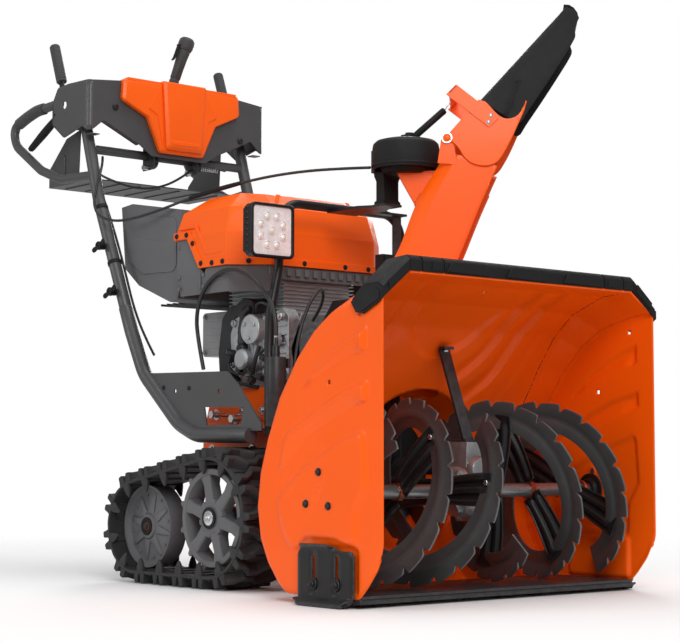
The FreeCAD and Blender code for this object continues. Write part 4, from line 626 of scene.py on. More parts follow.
g = G(); g.mi = 0
tri = [(-20, 893), (66.5, 893), (24.5, 821), (20, 821)]
for v0 in (-20, 18):
    n = np.array(CH((0, 1, 0))) - np.array(CH((0, 0, 0))); g.slab([CH((p[0], v0, p[1])) for p in tri], n, 3.0)
g.slab([CH(p) for p in ((-20, -22, 889.5), (64, -22, 889.5), (64, 22, 889.5), (-20, 22, 889.5))], (0, 0, 1), 3.5)
g.slab([CH(p) for p in ((20, -20, 821), (34, -20, 845), (34, 20, 845), (20, 20, 821))], np.array(CH((-1, 0, 0.5))) - np.array(CH((0, 0, 0))), 2.5)
g.mi = 1
g.lathe([(40, 889), (46, 892), (52, 898), (52, 938), (46, 942), (11, 943), (11, 966.4), (10.8, 974)], (0, 357, 0), (0, 0, 1), 48)
for k in range(24):
    a = 2 * math.pi * k / 24; g.obox((52.6 * math.cos(a), 357 + 52.6 * math.sin(a), 914), (0, 0, 1), (math.cos(a), math.sin(a), 0), (-math.sin(a), math.cos(a), 0), 14, 2.0, 3.2)
a, b = np.array(CH((20, 0, 972))), np.array(CH((84, 0, 1028))); g.tube([a, a * .96 + b * .04, a * .04 + b * .96, b], [6.4, 7.5, 7.5, 6.2], 22)
g.lathe([(9.6, 966.4), (10, 968), (10, 977), (8.8, 979)], CH((8, 0, 0)), (0, 0, 1), 24)
g.slab([CH(p) for p in ((4, -5, 968), (30, -5, 968), (30, 5, 968), (4, 5, 968))], (0, 0, 1), 9)
g.mi = 2
p0 = np.array(CH((84, 0, 1028))); p1 = np.array(CH((97, 0, 1044))); g.tube([p0, p0 * .5 + p1 * .5 + np.array((0, 0, 1.5)), p1], 1.3, 8)
g.make("chute_swivel", [ORANGE, BLKPL, ZINC], "chute", ["chute_rotor"], bevel=0.7)

g = G(); g.mi = 0
low = catmull([(88, 955), (104, 944), (116, 931), (126, 914), (141, 901), (160, 894.5), (182, 895), (199, 906), (216, 933), (228, 957), (240, 984), (250, 1006), (257, 1029)], 4)
up = catmull([(257, 1029), (246, 1008), (236, 997), (222, 992), (208, 994), (196, 1002), (184, 1015), (172, 1028), (157, 1033)], 4)
chk = low + up[1:]
n = np.array(CH((0, 1, 0))) - np.array(CH((0, 0, 0)))
for v0 in (-80.5, 78.1): g.slab([CH((p[0], v0, p[1])) for p in chk], n, 2.4)
bp = [(104, 972.4), (158, 1031), (156.2, 1032.8), (102.2, 974.2)]
bro = []
for v in np.linspace(-79.4, 79.4, 25):
    k = float(sst((abs(v) - 62) / 17.4)) * 7.0; bro.append([CH((p[0] + k * 0.73, v, p[1] - k * 0.68)) for p in bp])
g.loft(bro)
low2 = [(p[0], p[1]) for p in low[24:]]
for sg in (-1, 1):
    g.tube([CH((p[0], sg * 79.6, p[1])) for p in low[2:]], 1.6, 8)
    # lever arms with riveted feet
    for v0 in ((sg * 80.5) - (0 if sg > 0 else 3.0),):
        g.slab([CH((p[0], v0, p[1])) for p in ((89, 1045), (110, 1066), (156, 1029), (178, 1012), (191, 1001), (197, 991), (179, 973), (167, 983))], n, 3.0)
g.slab([CH((94, -83.5, 1050)), CH((108, -83.5, 1064)), CH((111, -83.5, 1061)), CH((97, -83.5, 1047))], n, 167.0)
g.mi = 1
for sg in (-1, 1):
    nn = n * sg
    for u, z in ((182, 998), (177, 984)): g.lathe([(4.6, 0), (4.4, 1.2), (3.0, 2.2), (0.1, 2.6)], CH((u, sg * 83.4, z)), nn, 18)
    g.mi = 0
    g.lathe([(4.0, -13.5), (4.0, 0), (8.6, 0), (8.6, 1.5), (7.0, 3.0), (3, 4.0), (0.1, 4.2)], CH((90, sg * 80.5, 953)), nn, 28)
    g.mi = 1
    g.lathe([(12, -2.2), (12, 0.2), (4.1, 0.2), (4.1, -2.2)], CH((90, sg * 80.5, 953)), nn, 28, cap=False, loop=True)
g.make("deflector_cheeks", [ORANGE, ZINC], "deflector", ["deflector"], bevel=0.5, smooth=35)

hbk = along([(157, 1033), (341, 1233)], 34)
hfr = along(catmull([(222, 992), (243, 983), (262, 1010), (300, 1066), (340, 1128), (354, 1151), (360, 1163), (361, 1170)], 4), 34)
g = G(); rows = []
for k in range(34):
    B, F = hbk[k], hfr[k]; row = []
    for s_, vv in ((1.0, -77.5), (0.8, -77.5), (0.55, -77.5), (0.34, -77.2), (0.2, -74), (0.1, -67), (0.035, -56), (0.0, -42), (0.0, -20), (0.0, 0)):
        q = B + (F - B) * s_; row.append((q[0], vv, q[1]))
    row = row + [(p[0], -p[1], p[2]) for p in reversed(row[:-1])]; rows.append([CH(p) for p in row])
g.loft(rows, cap=False, closed=False)
top = [(341, 1233), (352, 1232), (361, 1226), (368, 1216), (370, 1207), (366, 1196), (358, 1181)]
tr_ = []
for (u, z) in top:
    row = []
    for vv in np.linspace(-1, 1, 21):
        e = 77.0 * vv; drop = 0.0; row.append(CH((u + drop * 0.35 - 4, e, z - drop)))
    tr_.append(row)
g.loft(tr_, cap=False, closed=False)
ps = [(341, 1233), (361, 1225), (369, 1208), (357, 1181), (361, 1168), (330, 1150), (322, 1206)]
g2 = G()
for v0 in (-77.8, 75.8): g2.slab([CH((p[0], v0, p[1] - 3)) for p in ps], n, 2.0)
ob = g.make("deflector_hood_shell", BLKPL, "deflector", ["deflector_hood"], solid=3.2, off=0, smooth=50, bevel=0.8, weld=0.001)
g2.mi = 0
for sg in (-1, 1):
    nn = n * sg
    e1 = np.array((240.0 - 213.0, 1077.0 - 999.0)); e1 /= np.hypot(*e1); e2 = np.array((-e1[1], e1[0]))
    cs = [np.array((213.0, 1001.0)) - e2 * 6.5, np.array((240.0, 1077.0)) - e2 * 6.5, np.array((240.0, 1077.0)) + e2 * 6.5, np.array((213.0, 1001.0)) + e2 * 6.5]
    g2.slab([CH((p[0], sg * 78.6, p[1])) for p in cs], nn, 2.2)
    for k in range(9):
        c = np.array((218.0, 1013.0)) + e1 * (6.4 * k); g2.obox(CH((c[0], sg * 81.2, c[1])), np.array(CH((e1[0], 0, e1[1]))) - np.array(CH((0, 0, 0))), np.array(CH((e2[0], 0, e2[1]))) - np.array(CH((0, 0, 0))), nn, 1.3, 4.5, 0.6)
    for q in (np.array((215.0, 1006.0)), np.array((238.0, 1071.0))): g2.lathe([(4.2, 0), (4.0, 1.4), (2.6, 2.2), (1.2, 1.2), (0.1, 1.0)], CH((q[0], sg * 80.6, q[1])), nn, 20)
g2.make("deflector_hood_trim", BLKPL, "deflector", [], bevel=0.5)

# rotator head: black cap, side bump, fluted pedestal, bolt
g = G(); g.mi = 0
g.lathe([(68, 898), (72, 898.5), (73, 902), (72.4, 944), (70.5, 953), (64, 959.5), (48, 963.5), (26, 966), (12.2, 966), (12.2, 962), (46, 959.5), (62, 955), (68, 947)], (0, 357, 0), (0, 0, 1), 72, cap=False, loop=True)
g.lathe([(74.2, 903), (75.2, 904.5), (75.2, 907), (74.2, 908.5), (71, 908.5), (71, 903)], (0, 357, 0), (0, 0, 1), 72, cap=False, loop=True)
g.loft([[(x, y, z) for x, y in ((-30, 416), (30, 416), (26, 441), (-26, 441))] for z in (899, 948)])
g.loft([[(w * x, 417 + d * y, z) for x, y in ((-1, -1), (-0.35, -1.08), (0.35, -1.08), (1, -1), (1, 1), (0.35, 1.08), (-0.35, 1.08), (-1, 1))] for z, w, d in ((829, 25, 15), (834, 25, 15), (838, 21, 13), (880, 21, 13), (890, 25, 15), (899, 26, 16))])
for x in (-14, -7, 0, 7, 14): g.box(x - 1.2, x + 1.2, 401.6, 404.5, 838, 890)
g.mi = 1
g.hex((0, 357, 966), (0, 0, 1), 7.5, 6.0, washer=11)
for x in (-16, 16): g.hex((x, 436, 829), (0, 0, -1), 4.5, 4)
g.make("rotator_housing", [BLKPL, ZINC], "chassis", ["rotator_head"], bevel=0.9)
# ------------------------------------------------------------------ engine side castings, trims and small parts
g = G(); g.mi = 0
g.box(-120, 120, 585, 860, 404.5, 430)
g.prism([(-105, 430), (105, 430), (120, 520), (90, 600), (-90, 600), (-120, 520)], "xz", 600, 845)
g.prism([(652, 600), (845, 600), (856, 690), (660, 690)], "yz", -95, 95)
g.lathe([(26, 0), (32, 0.5), (34, 3), (34, 40), (38, 42), (38, 70), (30, 70)], (-168, 690, 565), (1, 0, 0), 48)
for k in range(3):
    a = 2 * math.pi * k / 3 + 0.6; g.hex((-168, 690 + 20 * math.cos(a), 565 + 20 * math.sin(a)), (-1, 0, 0), 4.4, 4)
g.prism(arcs([(652, 468), (652, 560), (668, 596), (720, 606), (778, 596), (796, 560), (790, 480), (752, 462)], 14, 4, True), "yz", -140, -100)
g.prism(arcs([(664, 480), (664, 552), (690, 574), (744, 574), (774, 548), (772, 488), (742, 474)], 12, 4, True), "yz", -148, -138)
for k in range(7): g.box(-151, -146, 672 + 14 * k, 676 + 14 * k, 486, 560)
g.prism(arcs([(600, 452), (600, 590), (618, 612), (648, 604), (652, 470), (636, 446)], 12, 4, True), "yz", -128, -96)
for k in range(6): g.box(-133, -126, 606, 646, 470 + 20 * k, 473.5 + 20 * k)
for y, z in ((612, 462), (612, 590), (644, 592), (662, 470), (664, 586), (720, 600), (780, 584), (786, 492), (752, 470)):
    g.lathe([(9, -6), (9, 3), (7.6, 5)], (-141, y, z), (-1, 0, 0), 20); g.hex((-145, y, z), (-1, 0, 0), 5, 4.5)
g.lathe([(22, 0), (24, 3), (24, 18), (19, 22)], (-148, 722, 500), (-1, 0, 0), 32)
g.lathe([(14, 0), (15, 2), (15, 16), (10, 19)], (-133, 630, 540), (-1, 0, 0), 26)
for k in range(9):
    zz_ = 612 + 8.5 * k; g.prism([(648, zz_), (850, zz_), (852, zz_ + 2.6), (650, zz_ + 2.6)], "yz", -104, 104)
g.make("engine_castings", CAST, "chassis", ["engine_block"], bevel=1.2, seg=2, smooth=38)
g = G()
# black intake shroud behind the castings, plug cap, connectors, leads
g.prism(arcs([(796, 440), (806, 500), (800, 570), (776, 612), (796, 632), (836, 600), (850, 520), (842, 440)], 18, 5, True), "yz", -134, -98)
g.prism(arcs([(700, 596), (706, 630), (740, 640), (772, 622), (770, 598)], 9, 4, True), "yz", -146, -100)
g.tube([(-150, 716, 616), (-158, 722, 604), (-160, 728, 572), (-158, 730, 540), (-152, 728, 522)], [9, 9, 7.5, 10, 11], 18, rad=12)
g.lathe([(10, 0), (12, 4), (12, 14), (9, 19)], (-150, 728, 528), (-1, -0.1, -0.3), 24)
g.lathe([(9, 0), (11, 3), (11, 16), (8, 20)], (-148, 770, 512), (-1, 0.4, 0.2), 20)
g.obox((-160, 776, 505), (1, 0.2, 0), (0, 1, 0.3), (0, -0.3, 1), 8, 13, 7)
for P_, r_ in (([(-158, 728, 520), (-160, 716, 492), (-158, 700, 470), (-154, 676, 456), (-150, 640, 446)], 3.2), ([(-158, 776, 500), (-164, 764, 478), (-162, 734, 466), (-158, 700, 478), (-160, 668, 506), (-156, 640, 522)], 2.8),
               ([(-152, 800, 470), (-160, 780, 462), (-164, 748, 452), (-160, 712, 442), (-152, 676, 436)], 4.2), ([(-146, 690, 600), (-158, 676, 618), (-160, 652, 622), (-150, 632, 608), (-140, 622, 588)], 3.4),
               ([(-150, 706, 446), (-158, 690, 470), (-160, 676, 500), (-156, 668, 528)], 5.0)):
    g.tube(catmull(P_, 6), r_, 12)
for y, z in ((660, 458), (648, 500), (690, 452), (735, 476)): g.obox((-160, y, z), (1, 0, 0), (0, 1, 0.4), (0, -0.4, 1), 6, 8, 6)
g.make("engine_leads", ENGBLK, "chassis", [], bevel=0.6, smooth=50)

HXc = 226.0


def hpl(k, y0, z):
    return [(-150 + k * 0.6, 632 + y0 + k, z), (150 - k * 0.6, 632 + y0 + k, z), (HXc - k, 700 + k * 0.4, z), (HXc - k, 896 - k, z), (HXc - 18 - k, 912 - k, z), (-HXc + 18 + k, 912 - k, z), (-HXc + k, 896 - k, z), (-HXc + k, 700 + k * 0.4, z)]


g = G(); g.mi = 0
# flange round the lower edge of the hood, and pressed creases
for sg in (-1, 1):
    band = [(698, 706), (788, 706), (800, 706), (846.5, 777), (897, 777), (897, 793), (838, 793), (791, 723), (698, 723)]
    g.prism(band, "yz", sg * 225.0, sg * 229.0)
    # chamfered front corner band
    A, B = np.array((sg * 150.0, 632.0)), np.array((sg * 226.0, 700.0)); d_ = (B - A) / np.linalg.norm(B - A); n_ = np.array((d_[1], -d_[0])) * (1 if sg > 0 else -1)
    g.loft([[(q[0] + n_[0] * o, q[1] + n_[1] * o, z) for (o, z) in ((-1, 706), (3.0, 706), (3.0, 722), (-1, 722))] for q in (A, B)])
    # pressed crease on the side of the hood
    g.prism([(716, 742), (772, 742), (812, 806), (880, 806), (880, 799), (817, 799), (777, 735), (716, 735)], "yz", sg * 225.2, sg * 227.4)
g.box(-150, 150, 628.5, 633, 706, 722)
g.prism([(-80, 706), (80, 706), (80, 850), (-80, 850)], "xy", 871.5, 875.5)
for sg in (-1, 1): g.loft([[(sg * 150, 640, 778), (sg * 146, 640, 778), (sg * 146, 646, 782), (sg * 150, 646, 782)], [(sg * 104, 668, 870), (sg * 98, 668, 870), (sg * 98, 676, 872), (sg * 104, 676, 872)]])
g.mi = 1
for sg in (-1, 1):
    for y, z in ((708, 714), (748, 714), (790, 716), (822, 764), (846, 785), (884, 785)): g.lathe([(6.2, 0), (6.2, 1.2), (4.8, 3.2), (2.2, 3.6), (1.8, 2.4), (0.1, 2.2)], (sg * 229, y, z), (sg, 0, 0), 20)
    for x in (sg * 60, sg * 130): g.lathe([(6, 0), (6, 1.2), (4.6, 3.0), (0.1, 3.4)], (x, 628.5, 714), (0, -1, 0), 20)
    g.lathe([(6, 0), (6, 1.2), (4.6, 3.0), (0.1, 3.4)], (sg * 191, 663, 714), (sg * 0.67, -0.745, 0), 20)
g.make("engine_hood_trim", [ORPLAS, BLKPL], "chassis", [], bevel=1.0, seg=2)
g = G()
for sg in (-1, 1):
    for y, z in ((790, 690), (790, 664), (884, 760), (884, 690), (884, 664)): g.lathe([(5.2, 0), (5.2, 1.2), (3.8, 2.6), (0.1, 3.0)], (sg * 222, y, z), (sg, 0, 0), 18)
    g.prism([(800, 660), (806, 660), (806, 700), (842, 756), (842, 764), (800, 702)], "yz", sg * 220.0, sg * 223.2)
    g.prism([(706, 676), (782, 676), (782, 681), (706, 681)], "yz", sg * 218, sg * 221.5)
for x0 in np.linspace(-150, 150, 13): g.box(x0 - 6, x0 + 6, 630.5, 634.5, 684, 700)
g.make("engine_shroud_trim", CHARPL, "chassis", [], bevel=0.8)
# tank seams and side swell
g = G()
for sg in (-1, 1):
    g.prism(arcs([(934, 712), (1070, 716), (1134, 752), (1146, 846), (1110, 858), (934, 838)], 22, 5, True), "yz", sg * 190, sg * 196.5)
    g.tube([(sg * 194.5, 920, 782), (sg * 195, 1000, 790), (sg * 195, 1080, 806), (sg * 194.5, 1152, 832)], 2.2, 8)
for k in range(5): g.prism([(-150, 640.5), (150, 640.5), (150, 646), (-150, 646)], "xz", 962 + k * 24, 966 + k * 24)
g.make("tank_side_swell", CHARPL, "chassis", [], bevel=2.5, seg=3)
g = G(); g.mi = 0
g.lathe([(33.5, 901), (34.5, 903), (34.5, 914), (31, 917), (12, 918.5), (0.1, 918.5)], (60, 1055, 0), (0, 0, 1), 40)
g.lathe([(23, 884), (24, 886), (24, 902), (20, 902)], (60, 1055, 0), (0, 0, 1), 32)
for k in range(16):
    a = 2 * math.pi * k / 16; g.obox((60 + 34.2 * math.cos(a), 1055 + 34.2 * math.sin(a), 908), (0, 0, 1), (math.cos(a), math.sin(a), 0), (-math.sin(a), math.cos(a), 0), 6, 1.6, 3.4)
g.make("fuel_cap_knurled", BLKPL, "fuel_cap", ["fuel_cap"], bevel=0.6)

# muffler guard with louvres, recoil cover with slots
g = G()
for a in (-70, 120): g.prism(arcs([(865, 520), (1000, 520), (1000, 624), (865, 624)], 10, 4, True), "yz", a - (0 if a < 0 else 3), a + (3 if a < 0 else 0))
for z in (520, 621): g.box(-67, 117, 868, 997, z, z + 3)
for y in (997,):
    for k in range(7): g.box(-66, 116, y, y + 2.6, 524 + 14 * k, 532.5 + 14 * k)
g.box(-67, 117, 866, 868.6, 523, 621)
for sg, x in ((-1, -70), (1, 120)):
    for k in range(5): g.prism([(884, 538 + 16 * k), (980, 538 + 16 * k), (980, 545 + 16 * k), (884, 545 + 16 * k)], "yz", x, x + sg * 2.4)
    for y, z in ((874, 530), (990, 530), (874, 614), (990, 614)): g.hex((x, y, z), (sg, 0, 0), 5, 4, washer=7)
g.make("muffler_louvres", MUFF, "chassis", ["muffler_guard"], bevel=0.8)
g = G(); g.mi = 0
g.lathe([(92, 861), (98, 862), (98, 878), (94, 885), (84, 888), (40, 888), (40, 884), (82, 884), (89, 881), (92, 876)], (0, 0, 500), (0, 1, 0), 64, cap=False, loop=True)
g.lathe([(0.1, 887), (34, 887), (36, 885.5), (34, 884), (0.1, 884)], (0, 0, 500), (0, 1, 0), 40)
for k in range(24):
    a = 2 * math.pi * k / 24
    g.obox((62 * math.cos(a), 886, 500 + 62 * math.sin(a)), (math.cos(a + 0.35), 0, math.sin(a + 0.35)), (0, 1, 0), (-math.sin(a + 0.35), 0, math.cos(a + 0.35)), 27, 1.6, 2.6)
g.box(-98, 98, 861, 864.5, 440, 520)
for a in (0.8, 2.35, 3.9, 5.5): g.hex((88 * math.cos(a), 884, 500 + 88 * math.sin(a)), (0, 1, 0), 5, 4)
g.make("recoil_housing", BLKPL, "chassis", ["recoil_cover"], bevel=0.6)
g = G(); g.mi = 0
g.loft([[(x, 902 + r * math.cos(a), 428 + r * 0.85 * math.sin(a)) for a in [2 * math.pi * k / 20 for k in range(20)]] for x, r in ((-38, 5), (-36, 8.6), (-22, 9.6), (-10, 8.6), (0, 9.4), (10, 8.6), (22, 9.6), (36, 8.6), (38, 5))])
g.lathe([(8.5, 0), (8.5, 10), (6, 14)], (0, 888, 428), (0, 1, 0), 20); g.cyl((0, 868, 428), (0, 1, 0), 2.5, 24, 12)
g.make("recoil_handle", BLKPL, "recoil_grip", ["recoil_grip"], smooth=60)
# belt cover ribs and fixings
g = G()
g.prism(arcs([(-86, 350), (-92, 425), (-78, 548), (-48, 604), (48, 604), (78, 548), (92, 425), (86, 350)], 14, 4, True), "xz", 441.5, 447)
for x in (-66, 66): g.prism([(x - 3, 372), (x + 3, 372), (x + 3, 520), (x - 3, 520)], "xz", 438.5, 443)
for x, z in ((-98, 360), (98, 360), (-98, 470), (98, 470), (-50, 612), (50, 612)): g.hex((x, 446, z), (0, -1, 0), 5, 4, washer=8)
for sg in (-1, 1):
    for k in range(5): g.prism([(458 + 14 * k, 344), (464 + 14 * k, 344), (464 + 14 * k, 414), (458 + 14 * k, 414)], "yz", sg * 112, sg * 119.5)
g.make("belt_cover_ribs", BLKPL, "chassis", [], bevel=1.2)
# frame fixings
g = G()
for sg in (-1, 1):
    for y, z in ((570, 240), (625, 240), (735, 385), (662, 385), (600, 372), (560, 300), (700, 300), (850, 300), (590, 130), (670, 130)): g.hex((sg * 150, y, z), (sg, 0, 0), 7, 6, washer=10.5)
g.make("frame_bolts", ZINC, "chassis", [], bevel=0.4)
# ------------------------------------------------------------------ rubber tracks: carcass, zig-zag lugs, guide horns
SYc, SZc, SRc, IYc, IZc, IRc = 638.0, 152.0, 109.0, 917.0, 126.0, 97.0


def loop_at(e):
    (y1, z1, r1), (y2, z2, r2) = (SYc, SZc, SRc + 14 + e), (IYc, IZc, IRc + e)
    d = math.hypot(y2 - y1, z2 - z1); base = math.atan2(z2 - z1, y2 - y1); al = math.acos((r1 - r2) / d); P = []; n = 60
    for k in range(n + 1):
        a = base + al + (2 * math.pi - 2 * al) * k / n; P.append((y1 + r1 * math.cos(a), z1 + r1 * math.sin(a)))
    for k in range(n + 1):
        a = base - al + 2 * al * k / n; P.append((y2 + r2 * math.cos(a), z2 + r2 * math.sin(a)))
    return P


LP = resamp(loop_at(0.0), 6.0, True); LA = np.array(LP + [LP[0]]); LL_ = np.concatenate([[0], np.cumsum(np.hypot(*np.diff(LA, axis=0).T))]); LT = LL_[-1]


def on_loop(s, h):
    """point of the loop at run s, raised by h along the loop's normal"""
    s = s % LT; y, z = np.interp(s, LL_, LA[:, 0]), np.interp(s, LL_, LA[:, 1])
    y1, z1 = np.interp((s + 4) % LT, LL_, LA[:, 0]), np.interp((s + 4) % LT, LL_, LA[:, 1]); y0, z0 = np.interp((s - 4) % LT, LL_, LA[:, 0]), np.interp((s - 4) % LT, LL_, LA[:, 1])
    t = np.array((y1 - y0, z1 - z0)); t /= np.linalg.norm(t); nn = np.array((t[1], -t[0]))
    return np.array((y, z)) + nn * h


X0t, X1t = 165.0, 320.0
NL = 34
for sg, nm in ((-1, "right"), (1, "left")):
    g = G(); rings = []
    K = 220
    for k in range(K):
        s = LT * k / K; ph = (s / LT * NL) % 1.0; thick = 8.0 - 1.2 * math.sin(math.pi * ph) ** 2
        row = []
        for x, h in ((X0t, 0.5), (X0t, thick - 1.0), (X0t + 3, thick), (200, thick - 0.5), (243, thick + 0.8), (286, thick - 0.5), (X1t - 3, thick), (X1t, thick - 1.0), (X1t, 0.5), (X1t - 8, 0), (243, 0.3), (X0t + 8, 0)):
            q = on_loop(s, h); row.append((sg * x, q[0], q[1]))
        rings.append(row)
    g.loft(rings, loop=True)
    for k in range(NL):
        s0 = LT * (k + 0.5) / NL; odd = k % 2
        st = [(X0t + 1, -6, 12), (184, -8, 13), (196, 2, 14), (214, 9, 14), (234, 9, 13), (246, 0, 12), (258, -8, 13), (280, -9, 14), (292, 2, 13), (304, 7, 12), (X1t - 1, 7, 11)] if odd else \
             [(X0t + 1, 6, 12), (184, 8, 13), (196, -2, 14), (214, -8, 14), (234, -8, 13), (246, 1, 12), (258, 9, 13), (280, 9, 14), (292, -2, 13), (304, -7, 12), (X1t - 1, -7, 11)]
        rr = []
        for x, o, w in st:
            hh = 28.6 if 190 < x < 300 else 27.0; row = []
            for ds, h in ((-w * 0.86, 6.5), (-w * 0.64, 14.0), (-w * 0.52, hh - 3.0), (-w * 0.34, hh), (w * 0.34, hh), (w * 0.52, hh - 3.0), (w * 0.64, 14.0), (w * 0.86, 6.5)):
                q = on_loop(s0 + o + ds, h); row.append((sg * x, q[0], max(q[1], 0.15)))
            rr.append(row)
        g.loft(rr)
        # low stiffening rib between the lugs
        rr = []
        for x in (X0t + 6, 200, 243, 286, X1t - 6):
            row = []
            for ds, h in ((-4, 6.5), (-2.4, 10.5), (2.4, 10.5), (4, 6.5)):
                q = on_loop(s0 + LT / NL / 2 + ds, h); row.append((sg * x, q[0], max(q[1], 0.15)))
            rr.append(row)
        g.loft(rr)
    for k in range(17):
        s0 = LT * k / 17
        for xa, xb, dx in ((X1t - 1.5, X1t - 11.5, -1), (X0t + 1.5, X0t + 11.5, 1)):
            rr = []
            for h, w, cx in ((1, 13, 0), (-8, 11.5, 0.4), (-17, 8.4, 1.6), (-24, 5.0, 2.8), (-28, 2.2, 3.4)):
                row = []
                for ax, as_ in ((-1, -0.6), (-0.6, -1), (0.6, -1), (1, -0.6), (1, 0.6), (0.6, 1), (-0.6, 1), (-1, 0.6)):
                    q = on_loop(s0 + as_ * w, h); xm = (xa + xb) / 2; row.append((sg * (xm - dx * 0 + ax * (6.2 * (w + 3) / 16.0)), q[0], q[1]))
                rr.append(row)
            g.loft(rr)
        # moulded pad behind each horn
        rr = []
        for x in (X0t + 16, X1t - 16):
            row = []
            for ds, h in ((-10, 1), (-8, -3.0), (8, -3.0), (10, 1)):
                q = on_loop(s0 + ds, h); row.append((sg * x, q[0], q[1]))
            rr.append(row)
        g.loft(rr)
    g.make("track_belt_" + nm, TRACK, "track_unit", ["track_belts"] if sg < 0 else [], bevel=0.8, smooth=38)

    # sprocket: webbed spokes, rim with drive pegs, flanged hub and axle nut
    g = G(); g.mi = 0; sx = sg
    rim = [(93, 0), (104, 0), (105, 2), (105, 40), (104, 42), (99, 44), (98.5, 46), (93, 46), (91.5, 42), (91.5, 4)]
    g.lathe(rim, (sg * 308, SYc, SZc), (-sg, 0, 0), 96, cap=False, loop=True)
    for k in range(6):
        a = math.radians(60 * k + 75); ca, sa = math.cos(a), math.sin(a); rr = []
        for r, w, d0, d1 in ((30, 17, 0, 30), (46, 13.5, 1, 28), (72, 12.5, 2, 28), (94, 17, 0.5, 32)):
            row = []
            for v, d in ((-w, d1), (-w, d0 + 3), (-w + 2.5, d0), (w - 2.5, d0), (w, d0 + 3), (w, d1)): row.append((sg * (307 - d), SYc + r * ca - v * sa, SZc + r * sa + v * ca))
            rr.append(row)
        g.loft(rr)
        b = math.radians(60 * k + 45); r = 36
        g.obox((sg * 303, SYc + r * math.cos(b), SZc + r * math.sin(b)), (1, 0, 0), (0, math.cos(b), math.sin(b)), (0, -math.sin(b), math.cos(b)), 5, 6, 6)
    for k in range(12):
        a = math.radians(30 * k + 15); ca, sa = math.cos(a), math.sin(a); rr = []
        for r, w in ((101, 9), (107, 7.5), (113, 5), (116, 3.2)):
            rr.append([(sg * x, SYc + r * ca - v * sa, SZc + r * sa + v * ca) for x, v in ((306, -w), (266, -w), (266, w), (306, w))])
        g.loft(rr)
    g.lathe([(12, 0), (30, 0), (34, 3), (35, 8), (35, 40), (22, 42), (22, 82), (12, 82)], (sg * 309, SYc, SZc), (-sg, 0, 0), 56)
    g.mi = 1
    g.lathe([(12.6, 0), (22, 0), (23, 1.5), (23, 4), (12.6, 4)], (sg * 310.5, SYc, SZc), (sg * 1, 0, 0), 40, cap=False, loop=True)
    g.mi = 2
    g.lathe([(11, 0), (15.5, 0.4), (16, 2.4), (11, 3.6)], (sg * 312.4, SYc, SZc), (sg, 0, 0), 36); g.hex((sg * 314, SYc, SZc), (sg, 0, 0), 9.5, 5.2); g.lathe([(5.2, 0), (5.2, 4), (4, 5)], (sg * 318, SYc, SZc), (sg, 0, 0), 24)
    g.cyl((sg * 300 if sg < 0 else 8, SYc, SZc), (1, 0, 0), 12.5, 292, 32)
    g.make("sprocket_wheel_" + nm, [CHARPL, BLKPL, ZINC], "sprocket_" + nm, ["sprocket_" + nm], bevel=0.9, smooth=34)

    # idler: dished disc with raised ribs and a rolled rim
    g = G(); g.mi = 0
    g.lathe([(18, 1), (27, 1), (29, 6), (40, 11), (82, 13), (86, 7), (88, 1), (92.6, 0), (93, 3), (93, 43), (91, 46), (84, 46), (82, 24), (40, 22), (26, 26), (24, 46), (24, 104), (9.4, 104), (9.4, 1)], (sg * 282, IYc, IZc), (-sg, 0, 0), 96, cap=False, loop=True)
    for k in range(8):
        a = math.radians(45 * k + 12); ca, sa = math.cos(a), math.sin(a); rr = []
        for r, w, d in ((30, 10.5, 5), (44, 8, 6.5), (62, 6.5, 8), (76, 4.0, 10.5)):
            rr.append([(sg * (282 - dd), IYc + r * ca - v * sa, IZc + r * sa + v * ca) for dd, v in ((14, -w), (d + 1.2, -w), (d, -w + 2), (d, w - 2), (d + 1.2, w), (14, w))])
        g.loft(rr)
        b = math.radians(45 * k + 34.5); g.lathe([(3.2, 0), (3, 2.0), (0.1, 2.4)], (sg * 270.5, IYc + 70 * math.cos(b), IZc + 70 * math.sin(b)), (sg, 0, 0), 16)
    g.mi = 1
    g.lathe([(9.5, 0), (19, 0), (20, 1.5), (20, 4), (17, 5.5), (13, 5.6), (12, 4), (9.5, 3.6)], (sg * 280.5, IYc, IZc), (sg, 0, 0), 40, cap=False, loop=True)
    g.make("idler_wheel_" + nm, [CHARPL, BLKPL], "idler_" + nm, ["idler_" + nm], bevel=0.7, smooth=34)
# axle ends
g = G()
for sg in (-1, 1):
    g.lathe([(0.1, 0), (7.5, 0), (8.6, 1), (8.6, 3), (0.1, 3)], (sg * 283, IYc, IZc), (sg, 0, 0), 30); g.hex((sg * 284, IYc, IZc), (sg, 0, 0), 7, 4)
g.make("idler_axle_caps", BLKST, "track_unit", [], bevel=0.4)
